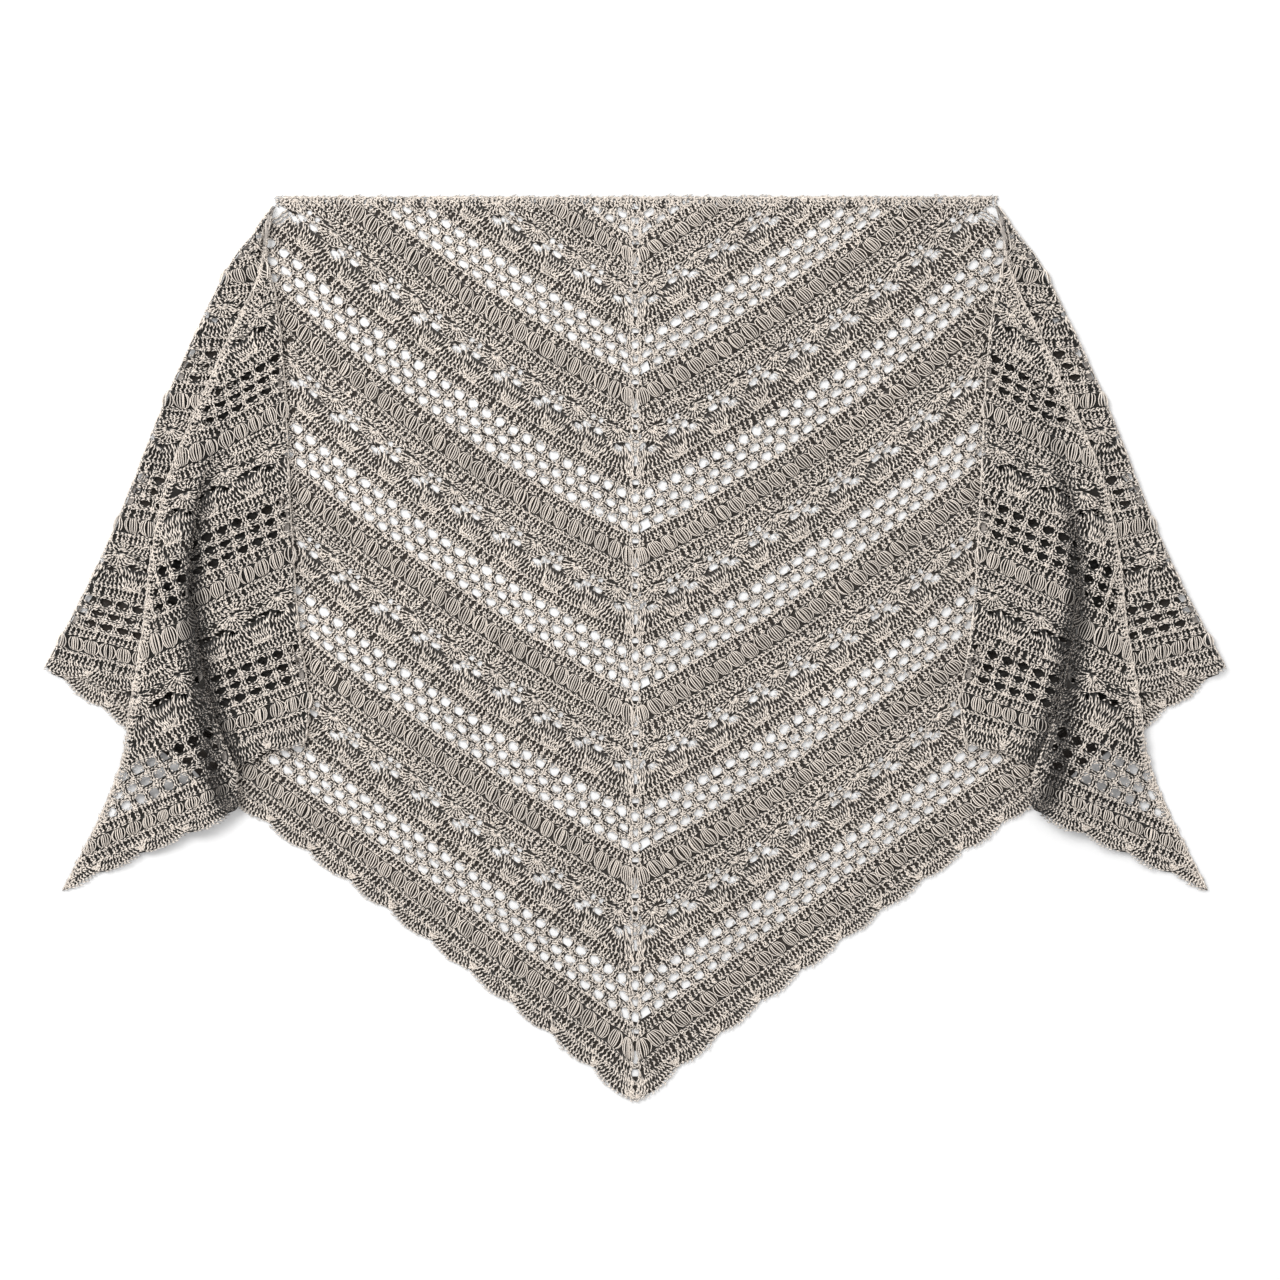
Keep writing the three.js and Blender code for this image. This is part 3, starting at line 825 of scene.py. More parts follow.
REPEAT = (
    Course(Row.PUFFS, 0.0, 0.14), Course(Row.PLAIN, 0.14, 0.207),
    Course(Row.GATHER, 0.207, 0.29), Course(Row.FAN, 0.29, 0.405),
    Course(Row.SHELL, 0.405, 0.556), Course(Row.PLAIN, 0.556, 0.635),
    Course(Row.MESH, 0.635, 0.74), Course(Row.MESH, 0.74, 0.83, -0.16),
    Course(Row.MESH, 0.83, 0.925, -0.3), Course(Row.PLAIN, 0.925, 1.0),
)
NECK = (
    Course(Row.PLAIN, 0.1, 0.36), Course(Row.MESH, 0.36, 0.6), Course(Row.MESH, 0.6, 0.82, -0.16),
    Course(Row.PLAIN, 0.82, 1.0),
)
HEM = (
    Course(Row.PUFFS, 6.0, 6.6), Course(Row.PLAIN, 6.6, 7.0), Course(Row.SCALLOP, 7.0, 8.0),
)


ROW_SHARES = {
    Row.PUFFS: (0.0, 0.5, 1.0), Row.PLAIN: (0.0, 0.3, 0.7, 1.0), Row.GATHER: (0.0, 0.3, 0.7, 1.0),
    Row.FAN: (0.0, 0.36, 0.53, 1.0), Row.SHELL: (0.0, 0.34, 0.6, 1.0),
    Row.MESH: (0.0, 0.16, 0.84, 1.0), Row.SCALLOP: (0.0, 0.5, 0.8, 1.05),
}


# The short strands of one tall stitch: the shares of its height at which each starts and ends,
# how far beside it that is, and how high the strand's middle stands
POST_STRANDS = (
    (-0.2, 0.36, -1.7, 0.9, 0.9), (-0.02, 0.48, 1.7, -0.6, 0.7), (0.26, 0.8, -1.1, 1.8, 1.05),
    (0.42, 0.94, 1.4, -1.7, 0.8), (0.66, 1.08, -1.6, 0.8, 1.1),
)
POST_START, POST_END = -0.1, 0.2      # heights of a strand's two ends
HALVES = np.array([0.0, 0.5, 1.0])    # shares along a strand of three points

# How uneven the stitches are, as spreads in millimetres, and as shares from POST_SHARE on
POST_LIFT, POST_SIDE, POST_HEAD, PAIR_HEAD = 0.25, 0.3, 0.2, 0.3
LOOP_JOG, LOOP_TILT, ROW_STEP, ROW_LEAN = 0.45, 0.5, 0.35, 0.7
PUFF_TILT, PUFF_JOG, PUFF_LIFT, CORD_JOG, BORDER_LEAN = 0.5, 0.4, 0.45, 0.3, 0.8
POST_SHARE, HOLE_SHARE, PUFF_SHARE = 0.04, 0.12, 0.06

# Sizes within the courses, in millimetres or as shares of a course's height
PAIR_HALF = 1.1               # half the distance between the two stitches of a pair
MESH_HOLE, MESH_TALL = 4.45, 0.345
LONG_RAY = 10.0               # reach from which the rays of a star carry loops
PUFF_STRANDS, PUFF_HALF, PUFF_HIGH, PUFF_SLANT, PUFF_FOOT = 7, 6.5, 2.9, 2.4, 0.45
PUFF_STEPS = np.array([0.0, 0.08, 0.28, 0.52, 0.76, 0.94, 1.0])
SPINE_FOOT, SPINE_MIDDLE, SPINE_HEAD = 1.6, 5.4, 2.0
BORDER_DEPTH, BORDER_WAVE, BORDER_LOW = 8.0, 16.0, 1.4
CORD_STEP, CORD_LENGTH = 5.5, 9.0
SCALLOP_DIP = 0.27            # how much of a line the hem rises between two scallops

# Openings of the ground, as shares of a pitch, or of a flower from its middle
MESH_SIDE, MESH_OPEN, SHELL_OPEN = 0.33, 0.32, 0.1
FAN_INNER, FAN_MIDDLE, FAN_OUTER = 0.26, 0.35, 0.46
OPENING_SIDES = {
    Row.FAN: (0.04, 0.15, 0.24, 0.76, 0.85, 0.96), Row.SHELL: (0.39, 0.61),
    Row.SCALLOP: tuple(k / 8 for k in range(8)),
}
FOLD_COLUMNS = np.array([0.7, 1.5, 2.3, 3.1, 3.9, 4.8, 6.5, 8.0])    # the close ones by a fold
GROUND_LEAD = 0.3             # how many lines before the stitches the ground starts


def courses_between(first: float, last: float) -> list[Course]:
    """List the courses whose upper edge lies from one line number to another."""
    every = list(NECK) + list(HEM)
    for repeat in range(1, 6):
        every += [Course(c.kind, repeat + c.start, repeat + c.end, c.shift) for c in REPEAT]
    return [c for c in every if first <= c.start < last]


@dataclass
class Crochet(YarnWork):
    """The stitches of one stretch of cloth.

    Attributes:
        both_ways: True where the courses run both ways from the spine.
    """

    both_ways: bool = False

    def row_runs(self, course: Course, spacing: float, shift: float = 0.0) -> np.ndarray:
        """Give evenly spaced runs along a course, as far as it reaches.

        Args:
            course: The course; not used.
            spacing: Distance between two.
            shift: Where the first one is, as a share of the spacing.

        Returns:
            The runs.
        """
        limit = float(self.surface.end_run(np.array([self.middle]))[0])
        run = (np.arange(int(limit / spacing) + 3) + shift - 1) * spacing
        run = run[(run >= 0.0) & (run < limit)]
        return np.concatenate([-run[::-1], run[run > 0]]) if self.both_ways else run

    def shown(self, run: np.ndarray, margin: float = COVER_MARGIN,
              clear: float = 0.0) -> np.ndarray:
        """Keep the runs that no other stretch hides and that are clear of the spine."""
        lines = np.full(run.shape, self.middle)
        keep = ~self.surface.covered(run, lines, margin)
        if self.both_ways:
            keep &= np.abs(run) >= clear
        return run[keep]

    def posts(self, base_run: np.ndarray, base_line: np.ndarray, top_run: np.ndarray,
              top_line: np.ndarray, wide: float = 1.0, loop: bool = True,
              base_drop: float | np.ndarray = 0.0, top_drop: float | np.ndarray = 0.0) -> None:
        """Work tall stitches: strands that cross on the way up, and the loop on top.

        Args:
            base_run: Runs of the feet.
            base_line: Lines of the feet.
            top_run: Runs of the heads.
            top_line: Lines of the heads.
            wide: How far the strands stand apart, as a share of POST_STRANDS.
            loop: True for the chain loop along the head.
            base_drop: How far below their line the feet are, in millimetres.
            top_drop: The same for the heads.
        """
        n = len(base_run)
        if not n:
            return
        rng = self.rng
        base_line = np.broadcast_to(base_line, n)[:, None]
        rise = np.broadcast_to(top_line, n)[:, None] - base_line
        base, step = base_run[:, None], (top_run - base_run)[:, None]
        lift = rng.normal(0.0, POST_LIFT, (n, 1))
        for low, high, start, end, height in POST_STRANDS:
            t = low + (high - low) * HALVES + rng.normal(0.0, POST_SHARE, (n, 1))
            side = (start + (end - start) * HALVES) * wide + rng.normal(0.0, POST_SIDE, (n, 3))
            self.add(base + step * t + side, base_line + rise * t,
                     np.array((POST_START, height, POST_END)) + lift, POST_YARN,
                     base_drop + (top_drop - base_drop) * t)
        if loop:
            self.loops(top_run + rng.normal(0.0, POST_HEAD, n), top_line, drop=top_drop)

    def loops(self, run: np.ndarray, line: float | np.ndarray, length: float = STITCH,
              wide: float = 0.8, drop: float | np.ndarray = 0.0) -> None:
        """Work the two strands of a chain loop, lying along a course.

        Args:
            run: Runs of the loops' middles.
            line: Lines that they lie on.
            length: Length of a loop.
            wide: Half the distance between its strands, in millimetres.
            drop: How far below their line they lie, in millimetres.
        """
        n = len(run)
        if not n:
            return
        overlap, taper, foot, arch, apart = 1.45, 1.9, 0.4, 0.8, 0.15
        line = np.broadcast_to(line, n)[:, None]
        jog = drop + self.rng.normal(0.0, LOOP_JOG, (n, 1))
        for side in (-1, 1):
            slope = wide * side * taper * (1.0 - HALVES) + jog
            self.add(run[:, None] + (HALVES - 0.5) * length * overlap, line,
                     foot + arch * np.sin(math.pi * HALVES) + apart * side, LOOP_YARN,
                     slope + self.rng.normal(0.0, LOOP_TILT, (n, 3)))

    def plain(self, course: Course) -> None:
        """Work a course of tall stitches side by side."""
        run = self.shown(self.row_runs(course, STITCH, 0.5), clear=SPINE_CLEAR)
        run = run + self.rng.normal(0.0, ROW_STEP, len(run))
        lean = self.rng.normal(0.0, ROW_LEAN, len(run))
        self.posts(run, course.start, run + lean, course.end)

    def mesh(self, course: Course) -> None:
        """Work pairs of tall stitches with chains between them, over open holes."""
        run = self.shown(self.row_runs(course, PITCH, course.shift + 0.5), clear=SPINE_CLEAR)
        tall = course.end - course.start
        for side in (-1, 1):
            foot = run + side * PAIR_HALF
            head = foot + self.rng.normal(0.0, PAIR_HEAD, len(run))
            self.posts(foot, course.start + 0.1 * tall, head, course.end, wide=0.8)
        for share in (0.11, 0.37, 0.63, 0.89):
            self.loops(run + PITCH * share, course.end - 0.02 * tall, STITCH * 1.15, 0.75)
        for share in (0.36, 0.64):
            self.loops(run + PITCH * share, course.start, STITCH, 0.6, 1.9)
        self.ring(run + PITCH / 2, self.middle, MESH_HOLE, MESH_TALL * tall * LINE_HEIGHT)

    def ring(self, run: np.ndarray, line: float, wide: float, tall: float) -> None:
        """Work the strands that round off the corners of openings.

        Args:
            run: Runs of the openings' middles.
            line: Line of the middles.
            wide: Half the width of an opening, in millimetres.
            tall: Half its height.
        """
        near, across = 0.3, 0.85
        height = 0.2 + 0.7 * np.sin(math.pi * HALVES)
        for side in (-1, 1):
            for way in (-1, 1):
                size = self.rng.normal(1.0, HOLE_SHARE, (len(run), 1))
                self.add(run[:, None] + side * wide * size * (near + across * HALVES), line,
                         height, RING_YARN, way * tall * size * (near + across - across * HALVES))

    def puffs(self, course: Course) -> None:
        """Work puffs: a soft barrel of loose strands, pinched where it starts and ends."""
        run = self.shown(self.row_runs(course, PITCH, 0.5), PUFF_MARGIN)
        if not len(run):
            return
        one_each = (len(run), 1)
        swell = np.abs(np.sin(math.pi * PUFF_STEPS)) ** 0.6
        size = self.rng.normal(1.0, PUFF_SHARE, one_each)
        tilt = self.rng.normal(0.0, PUFF_TILT, one_each)
        for share in np.linspace(-1.0, 1.0, PUFF_STRANDS):
            jog = self.rng.normal(0.0, PUFF_JOG, one_each)
            offset = share * PUFF_HALF * size * (PUFF_FOOT + (1.0 - PUFF_FOOT) * swell)
            offset = offset + (jog + tilt) * swell + PUFF_SLANT * (PUFF_STEPS - 0.5)
            high = (0.1 + PUFF_HIGH * math.sqrt(1.0 - 0.8 * share ** 2) * swell
                    + np.clip(self.rng.normal(0.0, PUFF_LIFT, one_each), -0.6, 1.0))
            start = 0.02 + 0.05 * share ** 2
            down = start + (0.95 - 2 * start) * PUFF_STEPS
            self.add(run[:, None] + offset, course.start + (course.end - course.start) * down,
                     high, PUFF_YARN)
        for step in (-1, 0, 1, 2):
            self.loops(run + step * STITCH, course.end)

    def rays(self, course: Course, count: int, foot: float, head: float,
             foot_bow: float = 0.0, head_bow: float = 0.0, past: float = 0.0,
             at: float = 0.5) -> None:
        """Work fans of stitches whose feet and heads are evenly spaced.

        Args:
            course: The course.
            count: Stitches in a fan.
            foot: Half the width of the fan at its feet.
            head: Half the width at its heads.
            foot_bow: How far the outer feet lie below the middle one, in millimetres.
            head_bow: The same for the heads.
            past: How far the heads reach past the course.
            at: Where the fan stands in its flower's width.
        """
        centre = self.shown(self.row_runs(course, FLOWER, at))
        for k in range(count):
            share = 2 * k / (count - 1) - 1
            off_spine = np.abs(centre + share * max(foot, head)) > 3.0
            run = centre[off_spine] if self.both_ways else centre
            self.posts(run + share * foot, course.start, run + share * head, course.end,
                       base_drop=foot_bow * (share ** 2 - 1), top_drop=past + head_bow * share ** 2)

    def star(self, course: Course, line: float, angles: Iterable[float], inner: float,
             outer: float, round_off: float = 0.0) -> None:
        """Work stitches that stand round a point like rays.

        Args:
            course: The course.
            line: Line number of the point.
            angles: Directions of the rays in degrees, 0 being straight down the cloth.
            inner: Distance of the rays' inner ends from the point.
            outer: Distance of their outer ends.
            round_off: How much longer a ray along the course is.
        """
        centre = self.shown(self.row_runs(course, FLOWER, 0.5))
        if not len(centre):
            return
        tall = self.surface.frame(centre, np.full(len(centre), self.middle))[1] / LINE_HEIGHT
        for degrees in angles:
            turn = math.radians(degrees)
            reach = outer + round_off * math.sin(turn) ** 2
            down = tall[:, None] * math.cos(turn)
            self.posts(centre + inner * math.sin(turn), line, centre + reach * math.sin(turn), line,
                       0.75, base_drop=inner * down, top_drop=reach * down,
                       loop=outer > LONG_RAY)

    def slack(self, course: Course) -> None:
        """Lay rows of loops across the gap between two fans, and round off its openings."""
        centre = self.shown(self.row_runs(course, FLOWER, 0.0))
        tall = course.end - course.start
        # each row of loops: its share of the course's height, and its loops on either side
        for share, reach in ((0.04, 0), (0.4, 4), (0.48, 3), (0.6, 0)):
            for step in range(-reach, reach + 1):
                self.loops(centre + step * STITCH, course.start + share * tall, wide=0.95,
                           drop=1.2 * math.cos(step / 3))
        # each pair of openings: how far off the middle, at which height, how wide and high
        for away, share, wide, high in ((0.1, 0.19, 3.0, 0.17), (0.145, 0.76, 4.4, 0.24)):
            for side in (-1, 1):
                self.ring(centre + side * away * FLOWER, course.start + share * tall, wide,
                          high * tall * LINE_HEIGHT)

    def spine(self, course: Course) -> None:
        """Work the stitches that bow out round an opening on the spine, and the chain below."""
        if not self.both_ways:
            return
        end = min(course.end, HEM_LINE - 0.25)
        for side in (-1.0, 1.0):
            foot, middle, head = np.array([[SPINE_FOOT], [SPINE_MIDDLE], [SPINE_HEAD]]) * side
            self.posts(foot, course.start, middle, self.middle, 0.6, loop=False)
            self.posts(middle, self.middle, head, end, 0.6, loop=False)
        self.loops(np.array([-2.4, 0.0, 2.4]), end, wide=0.9)

    def work(self, course: Course) -> None:
        """Work one course.

        Args:
            course: The course.
        """
        self.middle = (course.start + course.end) / 2
        if course.kind is Row.PUFFS:
            self.puffs(course)
        elif course.kind is Row.PLAIN:
            self.plain(course)
        elif course.kind is Row.MESH:
            self.mesh(course)
        elif course.kind is Row.GATHER:
            self.star(course, course.end, (-128, -150, -172, 172, 150, 128),
                      inner=2.8, outer=8.6, round_off=3.0)
            self.rays(course, 9, foot=10.0, head=14.5, past=-1.2, at=0.0)
        elif course.kind is Row.FAN:
            self.star(course, course.start, range(-80, 81, 16), inner=2.8, outer=11.8,
                      round_off=0.4)
            self.slack(course)
        elif course.kind is Row.SHELL:
            self.rays(course, 8, foot=8.0, head=13.2, foot_bow=-5.0)
            self.rays(course, 9, foot=12.6, head=6.4, foot_bow=-2.6, at=0.0)
            centre = self.shown(self.row_runs(course, FLOWER, 0.5))
            self.ring(centre, course.start + 0.025, wide=4.0, tall=2.9)
        elif course.kind is Row.SCALLOP:
            self.rays(course, 13, foot=13.5, head=19.6, foot_bow=-1.5, head_bow=-4.2, past=1.0)
            self.rays(course, 5, foot=6.8, head=1.6, past=-5.5, at=0.0)
            if self.both_ways:
                tip = np.array([-11.0, -7.8, -4.6, 4.6, 7.8, 11.0])
                self.posts(tip, course.start + 0.1, tip * 0.8, course.end - 0.2)
        self.spine(course)


@dataclass
class Border(Crochet):
    """The short stitches and the cord along a free edge."""

    def work_edge(self) -> None:
        """Work the stitches, their loops and the cord that closes them."""
        deep = -BORDER_DEPTH / LINE_HEIGHT
        self.middle = deep / 2
        limit = float(self.surface.end_run(np.array([0.0]))[0])
        start = -limit if isinstance(self.surface, PanelEdge) else 2.0
        run = np.arange(start, limit, STITCH)
        bump = 0.9 * np.sin(2 * math.pi * run / BORDER_WAVE)
        bump = bump + self.rng.normal(0.0, ROW_STEP, len(run))
        self.posts(run, deep, run + self.rng.normal(0.0, BORDER_LEAN, len(run)),
                   (bump - BORDER_LOW) / LINE_HEIGHT)
        run = np.arange(start, limit - CORD_LENGTH - 1.0, CORD_STEP)[:, None]
        t = np.array([0.0, 0.3, 0.7, 1.0])
        for turn in (0.0, math.pi):
            height = 0.6 + 0.5 * np.sin(2 * math.pi * t + turn)
            across = 0.9 * np.cos(1.6 * math.pi * t + turn)
            self.add(run + CORD_LENGTH * t, np.full(run.shape, -1.0 / LINE_HEIGHT), height,
                     CORD_YARN, across + self.rng.normal(0.0, CORD_JOG, run.shape))


@dataclass
class Ground:
    """The thin knotted ground under the stitches, open where the mesh is open, with painted shade
    on top.

    Attributes:
        surface: The stretch that it lies in.
        both_ways: True where the courses run both ways from the spine.
        level: Height of its lower side, in millimetres.
        thickness: Its thickness, in millimetres.
    """

    surface: Surface
    both_ways: bool = False
    level: float = -0.85
    thickness: float = 0.4

    def columns(self, limit: float, course: Course) -> np.ndarray:
        """Give the runs of the ground's columns, which are the sides of its openings."""
        width = PITCH if course.kind is Row.MESH else FLOWER
        shares = OPENING_SIDES.get(course.kind, (0.0, 0.5))
        if course.kind is Row.MESH:
            shares = (course.shift - MESH_SIDE, course.shift + MESH_SIDE)
        run = (np.arange(-1, int(limit / width) + 1)[:, None] + np.array(shares)).ravel() * width
        run = run + 0.45 * np.sin(run * 2.3 + 9.0 * course.start)
        run = run[(run > 2.6) & (run < limit)]
        if self.both_ways:
            run = np.concatenate([[SPINE_OPEN], run[run > SPINE_OPEN + 1.0]])
            return np.concatenate([-run[::-1], run])
        even = np.arange(0.0, limit, 5.0)
        return np.unique(np.round(np.concatenate([run, even, FOLD_COLUMNS]), 2))

    def build(self, name: str, courses: list[Course],
              finish: bpy.types.Material) -> bpy.types.Object:
        """Build the ground as thin closed shells, one for each course.

        Args:
            name: Name of the new piece.
            courses: The courses that it spans, in order.
            finish: Its material.

        Returns:
            The piece.
        """
        points, faces, uvs, depths, base = [], [], [], [], 0
        for course in sorted(courses, key=lambda c: c.start):
            band_points, band_faces, uv, depth = self.band(course)
            points.append(band_points)
            faces.append(band_faces + base)
            uvs.append(uv)
            depths.append(depth)
            base += len(band_points)
        uv = np.vstack(uvs)
        return new_piece(name, np.vstack(points), np.vstack(faces), finish, uv,
                         np.concatenate(depths), np.zeros(len(uv)), self.surface.mirrored)

    def band(self, course: Course) -> tuple[np.ndarray, np.ndarray, np.ndarray, np.ndarray]:
        """Build the shell of one course: points, triangles, yarn coordinates and depths."""
        share = np.array(ROW_SHARES[course.kind])
        line = course.start + share * (course.end - course.start)
        limits = self.surface.end_run(line)
        run = self.columns(float(limits.max()) + PITCH, course)
        ll, rr = np.meshgrid(line, run, indexing="ij")
        reach = np.broadcast_to(limits[:, None], rr.shape)
        middle = (course.start + course.end) / 2
        lean = self.surface.frame(run, np.full(run.shape, middle))[0]
        if course.kind in (Row.MESH, Row.FAN, Row.SHELL):
            rr = rr + lean * smooth(np.abs(run) / 12.0) * (ll - middle)
            ll[1:-1] += 0.006 * np.sin(1.3 * rr[1:-1] + 7.0 * ll[1:-1])
        clipped = np.clip(rr, -reach, reach)
        if course.kind is Row.SCALLOP:
            wave = 0.5 + 0.5 * np.cos(2 * math.pi * rr / FLOWER)
            ll[-1] -= SCALLOP_DIP * wave[-1]
        keep = self.kept((run[:-1] + run[1:]) / 2, course, len(line) - 1, limits)
        top = self.surface.place(clipped, ll, np.full(ll.shape, self.level + self.thickness))
        low = self.surface.place(clipped, ll, np.full(ll.shape, self.level))
        points, faces = shell(top, low, keep)
        uv = np.column_stack([np.tile(clipped.ravel(), 2), np.tile(ll.ravel() * LINE_HEIGHT, 2)])
        # Painted shade: the upper side takes the dark of the gaps between strands, the underside
        # the colour of lit yarn
        depth = np.repeat([self.level + self.thickness, LIT_HEIGHT], len(points) // 2)
        used, faces = np.unique(faces, return_inverse=True)
        return points[used], faces.reshape(-1, 3), uv[used], depth[used]

    def kept(self, run: np.ndarray, course: Course, rows: int, limits: np.ndarray) -> np.ndarray:
        """Tell which cells of a course's ground are there.

        Args:
            run: Runs of the cells' middles.
            course: The course.
            rows: How many rows of cells it has.
            limits: The run at which each line of points ends.

        Returns:
            True for each cell that is there.
        """
        keep = np.abs(run)[None] < np.minimum(limits[:-1], limits[1:])[:, None]
        open_run = np.zeros(run.shape, bool)
        if course.kind is Row.MESH:
            hole = np.mod(run / PITCH - course.shift * np.sign(run) + 0.5, 1.0)
            open_run = np.abs(hole - 0.5) < MESH_OPEN
        off = np.abs(np.mod(run / FLOWER, 1.0) - 0.5)
        if course.kind is Row.FAN:
            open_run = (off > FAN_INNER) & (off < FAN_OUTER)
        elif course.kind is Row.SHELL:
            open_run = off < SHELL_OPEN
        if self.both_ways:
            middle = np.full(run.shape, (course.start + course.end) / 2)
            hidden = self.surface.covered(run, middle, 2.0)
            hidden |= course_y(middle, np.abs(run) / ALONG) > TOP - CLOSED_EDGE
            open_run = (open_run & ~hidden) | (np.abs(run) < SPINE_OPEN)
            if course.kind is Row.FAN:
                keep[0] &= ~((off > FAN_MIDDLE) & (off < FAN_OUTER) & ~hidden)
        row = {Row.FAN: rows - 1, Row.SHELL: 0}.get(course.kind, 1)
        keep[row] &= ~open_run
        if self.both_ways and rows > 2:
            keep[1] &= np.abs(run) >= SPINE_OPEN
        return keep


def shell(top: np.ndarray, low: np.ndarray, keep: np.ndarray) -> tuple[np.ndarray, np.ndarray]:
    """Close two grids of points into a shell with walls round every opening.

    Args:
        top: (rows, columns, 3) points of the upper side.
        low: The same for the lower side.
        keep: (rows - 1, columns - 1) True for each cell that is there.

    Returns:
        All points, and the triangles.
    """
    rows, columns = top.shape[:2]
    number = np.arange(rows * columns).reshape(rows, columns)
    under = number + rows * columns
    i, j = np.nonzero(keep)
    a, b, c, d = number[i, j], number[i + 1, j], number[i + 1, j + 1], number[i, j + 1]
    e, f, g, h = under[i, j], under[i + 1, j], under[i + 1, j + 1], under[i, j + 1]
    quads = [np.stack([a, b, c, d], 1), np.stack([e, h, g, f], 1)]
    padded = np.pad(keep, 1)
    sides = (
        (padded[i, j + 1], a, d, h, e), (padded[i + 2, j + 1], c, b, f, g),
        (padded[i + 1, j], b, a, e, f), (padded[i + 1, j + 2], d, c, g, h),
    )
    for neighbour, p, q, r, s in sides:
        open_side = ~neighbour
        quads.append(np.stack([p, q, r, s], 1)[open_side])
    q = np.vstack(quads)
    faces = np.vstack([q[:, [0, 1, 2]], q[:, [0, 2, 3]]])
    return np.vstack([top.reshape(-1, 3), low.reshape(-1, 3)]), faces


@dataclass(frozen=True)
class YarnFinish:
    """A matt two-ply cotton yarn.

    Attributes:
        name: Name of the material.
        light: Linear colour of the yarn where the light falls on it.
        dark: Linear colour of the painted shade deep between the strands.
        roughness: Roughness of the yarn.
        specular: Specular level.
        sheen: Weight of the sheen.
        sheen_roughness: Roughness of the sheen.
        bump: Strength of the relief.
        relief: Height of the relief, in millimetres.
    """

    name: str
    light: tuple[float, float, float]
    dark: tuple[float, float, float]
    roughness: float = 0.85
    specular: float = 0.25
    sheen: float = 0.25
    sheen_roughness: float = 0.5
    bump: float = 0.5
    relief: float = 0.3

    def build(self) -> bpy.types.Material:
        """Make the material from the shared yarn group."""
        material = bpy.data.materials.new(self.name)
        material.use_nodes = True
        nodes, links = material.node_tree.nodes, material.node_tree.links
        shader = nodes["Principled BSDF"]
        shader.inputs["Specular IOR Level"].default_value = self.specular
        shader.inputs["Sheen Weight"].default_value = self.sheen
        shader.inputs["Sheen Roughness"].default_value = self.sheen_roughness
        group = nodes.new("ShaderNodeGroup")
        group.node_tree = yarn_group()
        group.inputs["Light"].default_value = (*self.light, 1.0)
        group.inputs["Dark"].default_value = (*self.dark, 1.0)
        group.inputs["Roughness"].default_value = self.roughness
        uv = nodes.new("ShaderNodeUVMap")
        uv.uv_map = "yarn"
        links.new(uv.outputs["UV"], group.inputs["Strand"])
        for label, socket in (("depth", "Depth"), ("tint", "Tint")):
            attribute = nodes.new("ShaderNodeAttribute")
            attribute.attribute_name = label
            links.new(attribute.outputs["Fac"], group.inputs[socket])
        bump = nodes.new("ShaderNodeBump")
        bump.inputs["Strength"].default_value = self.bump
        bump.inputs["Distance"].default_value = self.relief * MM
        links.new(group.outputs["Relief"], bump.inputs["Height"])
        links.new(bump.outputs["Normal"], shader.inputs["Normal"])
        links.new(group.outputs["Color"], shader.inputs["Base Color"])
        links.new(group.outputs["Roughness"], shader.inputs["Roughness"])
        return material


_GROUPS: dict[str, bpy.types.NodeTree] = {}

# How the yarn's group varies its colour, as amounts about the middle, and its textures; PLY_SHADE
# is painted shade in the grooves between the plies
PLY_LENGTH = 2.6              # one turn of the two plies, in millimetres
PLY_SHADE, TINT_SPREAD, BROAD_SPREAD, FLUFF_SPREAD = 0.25, 0.4, 0.25, 0.5
FLUFF_SCALE, BROAD_SCALE = 900.0, 9.0
FLUFF_ROUGHNESS, FLUFF_RELIEF = 0.1, 0.5


